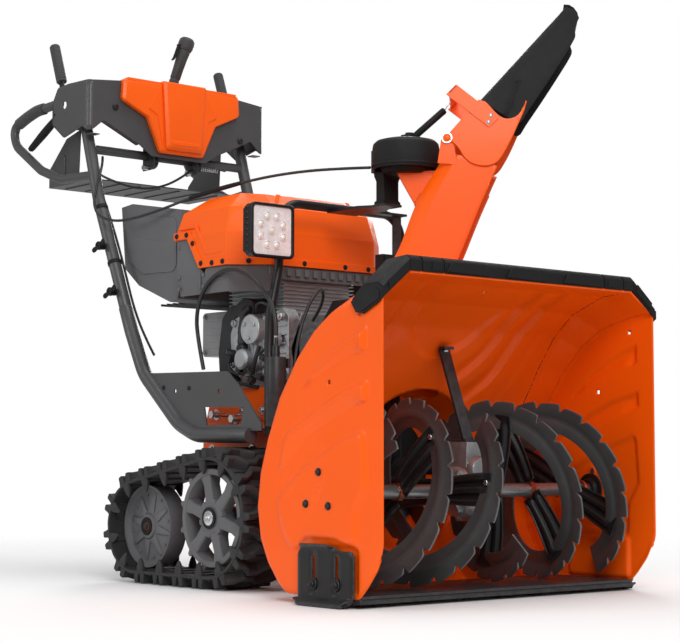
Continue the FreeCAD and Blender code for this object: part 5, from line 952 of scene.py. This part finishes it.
# ------------------------------------------------------------------ skid shoes
for sg, nm in ((-1, "right"), (1, "left")):
    g = G(); g.mi = 0
    ol = arcs([(236, 98), (222, 117), (142, 117), (112, 106), (78, 106), (71, 98), (71, 22), (88, 6), (222, 6), (236, 20)], [7, 5, 5, 6, 6, 5, 6, 8, 8, 6], 4, True)
    slots = [[(y - 5, 33), (y - 3.5, 30.5), (y + 3.5, 30.5), (y + 5, 33), (y + 5, 94), (y + 3.5, 96.5), (y - 3.5, 96.5), (y - 5, 94)] for y in (187, 120)]

    def sk(Y, Z, sg=sg):
        de = segdist(Y, Z, ol, True); x = 392.2 + 2.6 * sst(de / 9.0)
        for y in (187, 120):
            d = np.hypot(Y - y, np.clip(np.abs(Z - 63) - 32, 0, None) * 1.0); x = x - 1.8 * (1 - sst((d - 8) / 5.0))
        x = x + 10.0 * sst((Z - 108) / 9.0) * (np.abs(Y - 182) < 44) + 19.0 * sst((22 - Z) / 17.0) ** 1.3
        return np.column_stack([sg * x, Y, np.where(Z < 22, 22 - (22 - Z) * 1.25, Z)])
    panel("skid_plate_" + nm, ol, slots, sk, BLKST, "skid_shoe_" + nm, ["skid_shoe_" + nm], step=3.6, thick=3.2, off=0, smooth=45)
    g = G()
    g.loft([[(sg * x, y, z) for x, z in ((388, 0.2), (413.5, 0.2), (413.5, 3.8), (388, 4.6))] for y in (98, 210)])
    for ya, yb in ((98, 78), (210, 231)): g.loft([[(sg * x, ya, z) for x, z in ((388, 0.2), (413.5, 0.2), (413.5, 3.8), (388, 4.6))], [(sg * x, yb, z) for x, z in ((388, 12), (411, 12), (411, 15.6), (388, 16.6))]])
    g.make("skid_sole_" + nm, BLKST, "skid_shoe_" + nm, [], bevel=1.0)
    g = G()
    for y in (187, 120):
        g.lathe([(4.4, -7), (4.4, 0), (11, 0), (12, 1.5), (11, 3.0)], (sg * 396.0, y, 42), (sg, 0, 0), 28); g.hex((sg * 398.6, y, 42), (sg, 0, 0), 8, 5.2); g.lathe([(4.2, 0), (4.2, 3.4), (3, 4.2)], (sg * 403.6, y, 42), (sg, 0, 0), 18)
    g.make("skid_fixings_" + nm, BLKST, "chassis", [], bevel=0.4)

# ------------------------------------------------------------------ console: bent panel
g = G()
front = [(-258, 1075), (-225, 1103), (-208, 1095), (-120, 1055), (-82, 1030), (82, 1030), (120, 1055), (208, 1095), (225, 1103), (258, 1075), (258, 1200), (180, 1208), (-180, 1208), (-258, 1200)]
g.prism(arcs(front, [3, 6, 20, 20, 8, 8, 20, 20, 6, 3, 5, 12, 12, 5], 4, True), "xz", 1204.6, 1208)
side = arcs([(1214, 1075), (1214, 1200), (1300, 1203), (1350, 1200), (1375, 1165), (1375, 1110), (1355, 1095), (1320, 1070), (1235, 1088)], [3, 3, 4, 12, 10, 8, 10, 10, 12], 4, True)
for sg in (-1, 1):
    hole = [(1318 + 9.5 * math.cos(2 * math.pi * k / 24), 1152 + 9.5 * math.sin(2 * math.pi * k / 24)) for k in range(24)]
    panel("console_side_%s" % ("right" if sg < 0 else "left"), side, [hole], lambda Y, Z, sg=sg: np.column_stack([sg * (266.6 + 0 * Y), Y, Z]), CHARST, "handle", [], step=9.0, thick=2.8, off=0, smooth=40)
    # rolled corner between the front and the side
    rr = []
    for z in np.linspace(1076, 1200, 10):
        row = []
        for k in range(9):
            a = math.pi / 2 * k / 8; row.append((sg * (257 + 9.6 * math.sin(a)), 1206.3 + 9.6 * (1 - math.cos(a)), z + (0 if z > 1100 else 0)))
        rr.append(row)
    g3 = G(); g3.loft(rr, cap=False, closed=False); g3.make("console_corner_%s" % ("right" if sg < 0 else "left"), CHARST, "handle", [], solid=2.8, off=0, smooth=70)
    # flange turned back under the lower edge, and top return
    g.prism([(sg * 226, 1101), (sg * 210, 1094), (sg * 122, 1054), (sg * 120, 1057), (sg * 209, 1097.5), (sg * 226, 1104.5)], "xz", 1207, 1219)
    g.prism([(1205, 1196.5), (1330, 1193.5), (1330, 1196.0), (1205, 1199.5)], "yz", sg * 40, sg * 264)
    g.obox((sg * 247, 1218, 1068), (1, 0, 0), (0, 1, 0), (0, 0, 1), 12, 12, 1.4)
    for x, z in ((198, 1142), (238, 1092)): pass
g.box(-40, 40, 1205, 1226, 1197, 1199.6); g.box(-40, 40, 1298, 1330, 1194, 1196.6)
for y in (1238, 1281): g.box(-50, 50, y, y + 5, 1186, 1198); g.box(-12, 12, y, y + 5, 1150, 1186)
g.box(-215, 215, 1268, 1470, 966, 969); g.box(-215, 215, 1468, 1471, 969, 1000)
for sg in (-1, 1):
    g.prism([(1322, 1098), (1388, 1083), (1470, 1012), (1470, 966), (1330, 966)], "yz", sg * 215, sg * 218)
    g.box(*sorted((sg * 215, sg * 265.5)), 1300, 1330, 1096, 1099)
    g.prism(arcs([(1392, 1052), (1440, 1012), (1440, 982), (1392, 982)], 8, 3, True), "yz", sg * 218, sg * 220.5)
for x in np.linspace(-180, 180, 7): g.box(x - 3, x + 3, 1290, 1450, 963.5, 966)
g.make("console_bent_panel", CHARST, "handle", ["console_panel"], bevel=0.9, seg=2)
g = G(); g.mi = 0
for x, z in ((-192, 1140), (192, 1100)): g.lathe([(9, 0), (9, 1.4), (6.6, 4.2), (3.4, 5.2), (3.0, 3.0), (0.1, 2.8)], (x, 1204.6, z), (0, -1, 0), 28)
# brackets, reels and springs under the console
for x in (-70, 62):
    g.prism([(1212, 1000), (1262, 1000), (1262, 1098), (1212, 1060)], "yz", x - 1.5, x + 1.5)
    g.lathe([(16, -9), (18, -8), (18, 8), (16, 9)], (x + 12, 1240, 1024), (1, 0, 0), 32)
g.tube([(-215, 1300, 1040), (-150, 1296, 1046), (0, 1290, 1050), (150, 1296, 1046), (215, 1300, 1040)], 7, 16)
g.mi = 1
for x in (-70, 62): g.hex((x + 21, 1240, 1024), (1, 0, 0), 6, 5); g.lathe([(6.5, 0), (6.5, 14)], (x - 16, 1240, 1006), (1, 0, 0), 18)
g.tube([(80 + 0.0, 1236 + 5 * math.cos(k * 0.9), 1012 + 5 * math.sin(k * 0.9)) if False else (80 + k * 0.9, 1236 + 5 * math.cos(k * 0.9), 1020 + 5 * math.sin(k * 0.9)) for k in range(70)], 1.1, 6)
g.make("console_underside_parts", [BLKST, ZINC], "handle", [], bevel=0.5, smooth=40)

# orange cover: wide shoulders behind a raised keystone centre
g = G(); g.mi = 0
sh_ = arcs([(-176, 1212), (-60, 1216), (60, 1216), (176, 1212), (180, 1160), (104, 1124), (66, 1040), (-66, 1040), (-104, 1124), (-180, 1160)], [9, 4, 4, 9, 12, 10, 9, 9, 10, 12], 4, True)
sh_i = [(p[0] * 0.955, 1128 + (p[1] - 1128) * 0.93) for p in sh_]
g.loft([[(x, 1203.4, z) for x, z in sh_], [(x, 1193, z) for x, z in sh_], [(x, 1188.4, z) for x, z in sh_i]])
tr0 = arcs([(-66, 1219), (66, 1219), (55, 1048), (-55, 1048)], [5, 5, 8, 8], 4, True); tr1 = arcs([(-57, 1216), (57, 1216), (47, 1056), (-47, 1056)], [5, 5, 8, 8], 4, True)
g.loft([[(x, 1190, z) for x, z in tr0], [(x, 1181, z) for x, z in tr0], [(x, 1176, z) for x, z in tr1]])
g.loft([[(x, 1189, z) for x, z in ((-168, 1208.5), (168, 1208.5), (166, 1216.5), (-166, 1216.5))], [(x, 1232, z) for x, z in ((-166, 1208.5), (166, 1208.5), (162, 1215.5), (-162, 1215.5))], [(x, 1236, z) for x, z in ((-164, 1208.5), (164, 1208.5), (160, 1212.5), (-160, 1212.5))]])
g.loft([[(x, y, z) for x, z in ((-64, 1210), (64, 1210), (64, 1219.4), (-64, 1219.4))] for y in (1182, 1234)])
for sg in (-1, 1): g.prism([(sg * 66, 1206), (sg * 60, 1060), (sg * 64, 1062), (sg * 78, 1132), (sg * 104, 1146), (sg * 72, 1206)], "xz", 1186.4, 1189.5)
g.prism([(-40, 1060), (40, 1060), (42, 1070), (-42, 1070)], "xz", 1174.6, 1177)
g.make("console_cover_moulding", ORPLAS, "handle", ["console_cover"], bevel=2.0, seg=3, angle=22, smooth=34)

# joystick: boot, ribbed bulb grip, trigger blade
JYc, JZc = 1262.0, 1165.0
jd = np.array((0.30, -0.10, 1.0)); jd /= np.linalg.norm(jd); j0 = np.array((0.0, JYc, JZc + 16))
g = G(); g.mi = 0
prof = [(6.4, 0), (6.4, 46), (11.5, 52), (12.8, 58), (12.8, 66), (11.2, 68), (13.2, 72), (13.6, 100), (14.8, 128), (16.2, 140), (16.4, 146), (15.6, 148), (17.8, 150), (20.2, 158), (20.8, 168), (19.6, 177), (15.5, 182), (8, 184), (0.1, 184.2)]
g.lathe(prof, j0, jd, 40)
sv = np.array((-1.0, 0, 0)); sv = sv - jd * (sv @ jd); sv /= np.linalg.norm(sv); jc = np.cross(jd, sv)
for k in range(12):
    c = j0 + jd * (76 + 5.2 * k)
    for s_ in (-1, 1): g.obox(c + jc * s_ * 13.2, jd, jc, sv, 1.1, 1.2, 7.0)
g.lathe([(6.2, 0), (7.6, 2), (6.8, 6), (7.6, 10), (6.8, 14), (7.4, 18), (6.6, 22), (6.2, 24)], j0 + jd * 26, jd, 28)
g.mi = 1
g.cyl((-14, JYc, JZc), (1, 0, 0), 3.0, 28, 20)
for x0 in (-14, 10.5): g.box(x0, x0 + 3.5, JYc - 6, JYc + 6, JZc - 8, JZc + 18)
g.box(-14, 14, JYc - 6, JYc + 6, JZc + 10, JZc + 18)
g.make("joystick_grip", [GRIP, ZINC], "joystick", ["joystick"], bevel=0.6, smooth=45)
g = G(); jt0 = j0 + jd * 112 + sv * 20.6; jtp = jt0 + jd * 44
rr = []
for t, o, w, th in ((-0.5, 4.5, 4.0, 1.6), (2, 3.0, 5.4, 2.2), (10, 0.6, 6.0, 2.5), (24, 0, 6.0, 2.5), (38, 0, 5.6, 2.5), (44, 0, 4.8, 2.5), (46.5, 0, 3.8, 2.0)):
    c = jt0 + jd * t + sv * o; rr.append([tuple(c + jc * a * w + sv * b * th) for a, b in ((-1, -0.5), (-0.5, -1), (0.5, -1), (1, -0.5), (1, 0.5), (0.5, 1), (-0.5, 1), (-1, 0.5))])
g.loft(rr); g.cyl(jtp - jc * 6, jc, 3.0, 12, 20)
g.make("joystick_blade", BLKPL, "joystick_trigger", ["joystick_trigger"], bevel=0.4, smooth=50)

# clutch levers and steering triggers
for sg, nm in ((-1, "right"), (1, "left")):
    g = G(); g.mi = 0; d_ = np.array((0, 0.354, 0.935)); d_ /= np.linalg.norm(d_); p0 = np.array((sg * 255.0, 1353.0, 1216.0))
    pr = [(11.0, 0), (13.0, 1.5), (13.4, 5), (12.2, 8)] + [(q, 8 + 6.5 * i + e) for i in range(14) for q, e in ((13.5, 1.2), (13.5, 4.4), (12.7, 5.4), (12.7, 6.2))] + [(13.4, 100), (13.2, 103), (11, 106.5), (6, 108), (0.1, 108.3)]
    g.lathe(pr, p0, d_, 36)
    g.mi = 1
    aa = math.radians(-18); R = lambda y, z: (1345 + (y - 1345) * math.cos(aa) - (z - 1190) * math.sin(aa), 1190 + (y - 1345) * math.sin(aa) + (z - 1190) * math.cos(aa))
    st = [R(*p) for p in arcs([(1336, 1186), (1354, 1186), (1354, 1226), (1336, 1226)], 6, 3, True)]
    g.prism(st, "yz", sg * 254, sg * 258); g.lathe([(7.2, 0), (8, 0.8), (8, 17.2), (7.2, 18)], ((-262 if sg < 0 else 244), 1345, 1190), (1, 0, 0), 28); g.hex((sg * 262, 1345, 1190), (sg, 0, 0), 5.5, 4)
    g.make("clutch_grip_" + nm, [GRIP, BLKST], "clutch_lever_" + nm, ["clutch_lever_" + nm], bevel=0.5, smooth=42)
    g = G(); t0 = np.array((sg * 255.5, 1364.0, 1134.0)); td = np.array((sg * 0.09, 0.846, -0.532)); td /= np.linalg.norm(td); _, ta_, tb_ = basis(td); rr = []
    for t in np.linspace(0, 142, 24):
        q = t / 142; w = 8.6 + 2.6 * math.sin(math.pi * q) ; e = 7.4 + 2.2 * math.sin(math.pi * min(1, q * 1.3)); k = 1.0 if q < 0.93 else math.sqrt(max(0.02, 1 - ((q - 0.93) / 0.07) ** 2))
        c = t0 + td * t; rr.append([tuple(c + ta_ * math.cos(2 * math.pi * j / 20) * w * k + tb_ * math.sin(2 * math.pi * j / 20) * e * k) for j in range(20)])
    g.loft(rr); g.lathe([(9, 0), (10, 1), (10, 17), (9, 18)], ((-264.6 if sg < 0 else 246.6), 1364, 1134), (1, 0, 0), 30); g.hex((sg * 264.6, 1364, 1134), (sg, 0, 0), 5, 3.5)
    g.make("steering_blade_" + nm, BLKPL, "steering_trigger_" + nm, ["steering_trigger_" + nm], bevel=0.4, smooth=55)
    # ribbed grip sleeves on the loops
    g = G(); P = catmull([(sg * 262.0, 1422, 1159.5), (sg * 268, 1450, 1156), (sg * 269.4, 1495, 1146), (sg * 269.9, 1535, 1134.4)], 14)
    m = len(P); rad = [12.0] + [14.6 if (i % 3) else 13.8 for i in range(1, m - 1)] + [12.0]
    g.tube(P, rad, 24)
    g.make("loop_grip_" + nm, GRIP, "handle", ["loop_grips"] if sg < 0 else [], smooth=50)
    # wing knobs
    for kn, (y, z), off_ in (("upper", (1152.0, 786.0), 0), ("lower", (1101.0, 672.0), 0)):
        g = G()
        g.lathe([(3.05, 17.5), (8, 17.5), (9, 18.5), (9.4, 28), (10.4, 30), (10.4, 36.5), (8, 39), (3.05, 39)], (sg * 235, y, z), (sg, 0, 0), 30, cap=False, loop=True)
        for a0 in (65, 245):
            a = math.radians(90 + a0) ; dy, dz = math.cos(a), math.sin(a); rr = []
            for r, w, t_ in ((6, 6.0, 3.8), (12, 5.6, 3.6), (20, 7.0, 3.8), (25, 5.8, 3.2), (27, 3.0, 1.8)):
                c = np.array((sg * (235 + 31.5 + r * 0.14), y + dy * r, z + dz * r)); n1 = np.array((0, -dz, dy))
                rr.append([tuple(c + np.array((1, 0, 0)) * t_ * math.cos(q) + n1 * w * math.sin(q)) for q in [2 * math.pi * j / 16 for j in range(16)]])
            g.loft(rr)
        g.make("wing_knob_%s_%s" % (kn, nm), BLKPL, "knob_%s_%s" % (kn, nm), ["knob_%s_%s" % (kn, nm)], bevel=0.6, smooth=45)

# ------------------------------------------------------------------ work lamp: finned body, bezel, ribbed lens, nine emitters
LX, LY, LZ = -236.0, 532.0, 763.0
GLASS = mk("lamp_glass", srgb(236, 236, 237), rough=0.22, metal=0.12, var=0.10, vscale=40, bump=0.3, bscale=260, coat=0.9, crough=0.04, rvar=0.4)
LEDM = mk("led_face", srgb(246, 244, 232), rough=0.12, metal=0.2, var=0.05, vscale=80, bump=0.05, coat=1.0, crough=0.03)
g = G(); g.mi = 0


def rsq(h, r, n=6): return arcs([(LX - h, LZ - h), (LX + h, LZ - h), (LX + h, LZ + h), (LX - h, LZ + h)], r, n, True)


g.loft([[(x, y, z) for x, z in rsq(h, r)] for y, h, r in ((LY - 3, 57, 11), (LY + 10, 57, 11), (LY + 12, 54, 9))])
rr = []
for y, h, r in ((LY - 4, 58.0, 12), (LY - 13, 58.6, 12), (LY - 15.0, 56.8, 11), (LY - 15.0, 52.6, 8), (LY - 10, 51.6, 7)): rr.append([(x, y, z) for x, z in rsq(h, r)])
g.loft(rr, cap=False)
for k in range(10):
    x = LX - 52 + k * 11.5; g.prism([(LY + 10, LZ - 50), (LY + 22, LZ - 46), (LY + 22, LZ + 46), (LY + 10, LZ + 50)], "yz", x - 1.3, x + 1.3)
for k in range(9):
    z = LZ - 48 + 12 * k
    for sg in (-1, 1): g.prism([(LX + sg * 56, LY - 2), (LX + sg * 60.5, LY + 1), (LX + sg * 60.5, LY + 8), (LX + sg * 56, LY + 11)], "xy", z - 1.6, z + 1.6)
g.box(LX + 30, LX + 46, LY + 10, LY + 34, LZ - 9, LZ + 9)
g.cyl((LX + 24, LY + 26, LZ), (1, 0, 0), 7.5, 26, 24)
g.mi = 1
g.loft([[(x, y, z) for x, z in rsq(52.0, 8)] for y in (LY - 10.5, LY - 8)])
for k in range(26):
    x = LX - 50 + k * 4.0; g.prism([(x - 0.75, LY - 10.4), (x, LY - 11.4), (x + 0.75, LY - 10.4)], "xy", LZ - 49, LZ + 49)
g.mi = 2
pos = [(LX, LZ)] + [(LX + 33 * math.cos(math.radians(45 * k + 22.5)), LZ + 33 * math.sin(math.radians(45 * k + 22.5))) for k in range(8)]
for x, z in pos:
    g.mi = 1; g.lathe([(9.6, 0), (9.6, 0.8), (8.4, 2.2), (7.2, 1.6), (7.0, 0.4)], (x, LY - 10.8, z), (0, -1, 0), 26, cap=False, loop=True)
    g.mi = 2; g.lathe([(6.8, 0), (6.2, 1.4), (4.2, 2.6), (1.6, 3.1), (0.1, 3.2)], (x, LY - 10.8, z), (0, -1, 0), 22)
g.make("work_lamp_body", [LAMPM, GLASS, LEDM], "work_lamp", ["work_lamp"], bevel=0.35, seg=1, smooth=38)

# gusset window trim, clips and ties on the frame
g = G(); g.mi = 0
for sg in (-1, 1):
    for y, z in ((920, 440), (820, 436)): g.lathe([(5, 0), (5, 1.6), (0.1, 1.8)], (sg * 237.6, y, z), (sg, 0, 0), 18)
    for y, z in ((1134, 745), (1196, 884)): g.lathe([(16.0, -5), (17, -4), (17, 4), (16.0, 5), (15.0, 0)], (sg * 235, y, z), (0, 0.41, 0.91), 28, cap=False, loop=True)
g.mi = 1
for sg in (-1, 1):
    for y, z in ((833, 378), (760, 368), (703, 375)): g.hex((sg * 150.0, y, z), (sg, 0, 0), 8.5, 6.5, washer=12.5)
g.make("frame_clips", [BLKPL, ZINC], "chassis", [], bevel=0.5)

g = G(); g.obox((88, 518, 702), (1, 0, 0), (0, 1, 0), (0, 0, 1), 23, 13, 33)
g.obox((88, 504.5, 702), (1, 0, 0), (0, 1, 0), (0, 0, 1), 18, 2.5, 28)
for z in (684, 720): g.lathe([(5, 0), (5, 1.5), (3.6, 2.4), (0.1, 2.6)], (88, 502, z), (0, -1, 0), 18)
g.make("hoop_switch_box", BLKPL, "chassis", [], bevel=2.0, seg=3)
# ------------------------------------------------------------------ cables as smooth curves
def curve_cable(name, pts, r, body, mat, nodes=(), blend=None):
    cu = bpy.data.curves.new(name, "CURVE"); cu.dimensions = "3D"; cu.bevel_depth = r / 1000.0; cu.bevel_resolution = 5; cu.resolution_u = 10; cu.use_fill_caps = True
    sp = cu.splines.new("NURBS"); sp.points.add(len(pts) - 1)
    for q, p in zip(sp.points, pts): q.co = (*M(p), 1.0)
    sp.order_u = 3; sp.use_endpoint_u = True
    cu.materials.append(mat); ob = bpy.data.objects.new(name, cu); bpy.context.scene.collection.objects.link(ob)
    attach(ob, body)
    if nodes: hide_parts(*nodes)
    return ob


curve_cable("rotator_cable", [(-206, 1238, 1018), (-228, 1203, 996), (-250, 1181, 962), (-262, 1178, 924), (-268, 1180, 888), (-264, 1158, 855), (-250, 1106, 841), (-237, 1046, 844), (-217, 971, 857), (-193, 885, 878), (-168, 795, 893), (-138, 692, 907), (-108, 586, 912), (-83, 479, 908), (-61, 404, 903)], 3.2, "handle", RUBBER, ["control_cables"])
curve_cable("clutch_cable", [(-212, 1262, 1010), (-209, 1242, 940), (-205, 1208, 875), (-207, 1165, 800), (-209, 1125, 720), (-208, 1092, 640), (-206, 1050, 570), (-203, 1010, 520)], 3.0, "handle", RUBBER)
curve_cable("console_cable", [(-216.5, 1290, 1020), (-205, 1275, 985), (-160, 1250, 962), (-100, 1240, 950), (-40, 1235, 958), (20, 1232, 985), (60, 1232, 1015)], 3.0, "handle", RUBBER)
curve_cable("lift_cable", [(-212, 800, 478), (-216, 815, 540), (-220, 820, 600), (-224, 790, 655), (-228, 730, 690), (-232, 660, 695), (-235, 590, 668), (-238, 535, 625), (-238, 504, 585), (-238, 504, 538)], 4.5, "chassis", RUBBER, ["engine_cables"])
curve_cable("throttle_cable", [(-60, 598, 585), (-64, 566, 610), (-80, 535, 638), (-112, 508, 648), (-150, 496, 618), (-180, 490, 565), (-196, 488, 510), (-204, 488, 455)], 3.5, "chassis", RUBBER)
g = G()
pc = [(-193, 885, 878), (-180, 840, 886), (-168, 795, 893), (-153, 743, 900.5)]
g.tube(catmull(pc, 6), [4.6, 5.4, 5.4, 5.4, 4.6], 16)
g.make("cable_sleeve", BLKPL, "handle", [], smooth=60)
# ------------------------------------------------------------------ the CAD nodes that stay: welded, edges softened, and given their finish
CADMAT = {"housing_back": ORANGE, "side_plates": ORANGE, "housing_cap": BLKPL, "scraper_bar": BLKST, "impeller_drum": ORANGE, "auger_brace": BLKST, "gear_case": CAST,
          "motor_frame": ORANGE, "belt_cover": BLKPL, "drive_belts": RUBBER, "engine_block": CAST, "engine_hood": ORPLAS, "engine_shroud": CHARPL, "fuel_tank": CHARPL,
          "muffler_guard": MUFF, "recoil_cover": BLKPL, "guard_hoop": BLKST, "rotator_head": BLKPL, "lower_handle": CHARST, "chassis_bolts": ZINC, "transmission": CAST,
          "engine_cables": RUBBER, "auger_flights": AUGST, "auger_shaft": STEELT, "impeller": BLKST, "crank_pulley": ZINC, "chute": ORANGE, "chute_rotor": ORANGE,
          "deflector": ORANGE, "deflector_hood": BLKPL, "handlebar": CHARST, "console_panel": CHARST, "console_cover": ORPLAS, "loop_grips": GRIP, "control_cables": RUBBER,
          "joystick_gimbal": ZINC, "joystick": GRIP, "joystick_trigger": BLKPL, "clutch_lever_right": GRIP, "clutch_lever_left": GRIP, "steering_trigger_right": BLKPL,
          "steering_trigger_left": BLKPL, "knob_upper_right": BLKPL, "knob_lower_right": BLKPL, "knob_upper_left": BLKPL, "knob_lower_left": BLKPL, "skid_shoe_right": BLKST,
          "skid_shoe_left": BLKST, "work_lamp": LAMPM, "fuel_cap": BLKPL, "recoil_grip": BLKPL, "sprocket_right": CHARPL, "sprocket_left": CHARPL, "idler_right": CHARPL,
          "idler_left": CHARPL, "track_belts": TRACK, "track_frame": ORANGE, "strut_cylinder": BLKST, "strut_rod": ZINC}
CADBEV = {"chassis_bolts": 0.5, "joystick_gimbal": 0.4, "guard_hoop": 0.8, "handlebar": 0.8, "lower_handle": 0.8, "motor_frame": 1.2, "scraper_bar": 1.5, "auger_brace": 1.2}
for nm, ob in N.items():
    if ob.hide_render: continue
    me = ob.data
    me.materials.clear(); me.materials.append(CADMAT[nm])
    w = ob.modifiers.new("weld", "WELD"); w.merge_threshold = 0.00002
    b = ob.modifiers.new("edge", "BEVEL"); b.width = CADBEV.get(nm, 1.0) / 1000.0; b.segments = 2; b.limit_method = "ANGLE"; b.angle_limit = math.radians(32); b.use_clamp_overlap = True
# ------------------------------------------------------------------ floor, light, camera
fl = bpy.data.meshes.new("floor"); R = 40.0
fl.from_pydata([(-R, -R, 0), (R, -R, 0), (R, R, 0), (-R, R, 0)], [], [(0, 1, 2, 3)])
flo = bpy.data.objects.new("floor", fl); bpy.context.scene.collection.objects.link(flo)
fm = bpy.data.materials.new("floor_white"); fm.use_nodes = True; fb = fm.node_tree.nodes["Principled BSDF"]
fb.inputs["Base Color"].default_value = (0.90, 0.90, 0.90, 1); fb.inputs["Roughness"].default_value = 0.75; fb.inputs["Specular IOR Level"].default_value = 0.2
nt = fm.node_tree; ln = nt.links
tcf = nt.nodes.new("ShaderNodeTexCoord"); vl = nt.nodes.new("ShaderNodeVectorMath"); vl.operation = "LENGTH"; ln.new(tcf.outputs["Object"], vl.inputs[0])
mrf = nt.nodes.new("ShaderNodeMapRange"); mrf.interpolation_type = "SMOOTHSTEP"; mrf.inputs["From Min"].default_value = 1.0; mrf.inputs["From Max"].default_value = 2.6; ln.new(vl.outputs["Value"], mrf.inputs["Value"])
nzf = nt.nodes.new("ShaderNodeTexNoise"); nzf.inputs["Scale"].default_value = 30; bpf = nt.nodes.new("ShaderNodeBump"); bpf.inputs["Strength"].default_value = 0.03; ln.new(nzf.outputs["Fac"], bpf.inputs["Height"]); ln.new(bpf.outputs[0], fb.inputs["Normal"])
tsf = nt.nodes.new("ShaderNodeBsdfTransparent"); mxf = nt.nodes.new("ShaderNodeMixShader"); ouf = [q for q in nt.nodes if q.type == "OUTPUT_MATERIAL"][0]
ln.new(mrf.outputs[0], mxf.inputs[0]); ln.new(fb.outputs[0], mxf.inputs[1]); ln.new(tsf.outputs[0], mxf.inputs[2]); ln.new(mxf.outputs[0], ouf.inputs[0])
fl.materials.append(fm)

sc = bpy.context.scene
w = bpy.data.worlds.new("studio"); sc.world = w; w.use_nodes = True
bg = w.node_tree.nodes["Background"]; bg.inputs[0].default_value = (1, 1, 1, 1); bg.inputs[1].default_value = 0.42
bg2 = w.node_tree.nodes.new("ShaderNodeBackground"); bg2.inputs[0].default_value = (1, 1, 1, 1); bg2.inputs[1].default_value = 1.0
lp = w.node_tree.nodes.new("ShaderNodeLightPath"); mw = w.node_tree.nodes.new("ShaderNodeMixShader"); ow = [q for q in w.node_tree.nodes if q.type == "OUTPUT_WORLD"][0]
w.node_tree.links.new(lp.outputs["Is Camera Ray"], mw.inputs[0]); w.node_tree.links.new(bg.outputs[0], mw.inputs[1]); w.node_tree.links.new(bg2.outputs[0], mw.inputs[2]); w.node_tree.links.new(mw.outputs[0], ow.inputs[0])


def area(name, loc, target, size, power, col=(1, 1, 1), sy=None):
    L = bpy.data.lights.new(name, "AREA"); L.energy = power; L.color = col; L.shape = "RECTANGLE" if sy else "SQUARE"; L.size = size
    if sy: L.size_y = sy
    o = bpy.data.objects.new(name, L); sc.collection.objects.link(o); o.location = loc
    o.rotation_euler = (Vector(target) - Vector(loc)).to_track_quat("-Z", "Y").to_euler(); return o


area("key", (-2.2, -3.6, 2.5), (0, -0.2, 0.5), 1.8, 96)
area("top", (0.3, -0.6, 4.2), (0, 0, 0.5), 2.4, 70)
area("rim", (3.0, 2.6, 2.4), (0, 0, 0.7), 1.6, 55)
area("side", (-3.6, 1.2, 1.6), (0, 0.2, 0.6), 1.2, 26)

cam = bpy.data.cameras.new("camera"); cam.lens = 93.45; cam.sensor_width = 36.0; cam.sensor_fit = "HORIZONTAL"; cam.clip_end = 200
co = bpy.data.objects.new("camera", cam); sc.collection.objects.link(co)
yaw, pit = math.radians(49.720), math.radians(4.434)
d = Vector((math.cos(yaw) * math.cos(pit), math.sin(yaw) * math.cos(pit), math.sin(pit)))
r = Vector((math.sin(yaw), -math.cos(yaw), 0)); u = r.cross(d)
rho = math.radians(0.07)
r2 = r * math.cos(rho) + u * math.sin(rho); u2 = -r * math.sin(rho) + u * math.cos(rho)
co.matrix_world = Matrix(((r2.x, u2.x, -d.x, -2.5420), (r2.y, u2.y, -d.y, -2.4236 - Y0 / 1000.0), (r2.z, u2.z, -d.z, 0.2791), (0, 0, 0, 1)))
sc.camera = co
sc.view_settings.view_transform = "Standard"
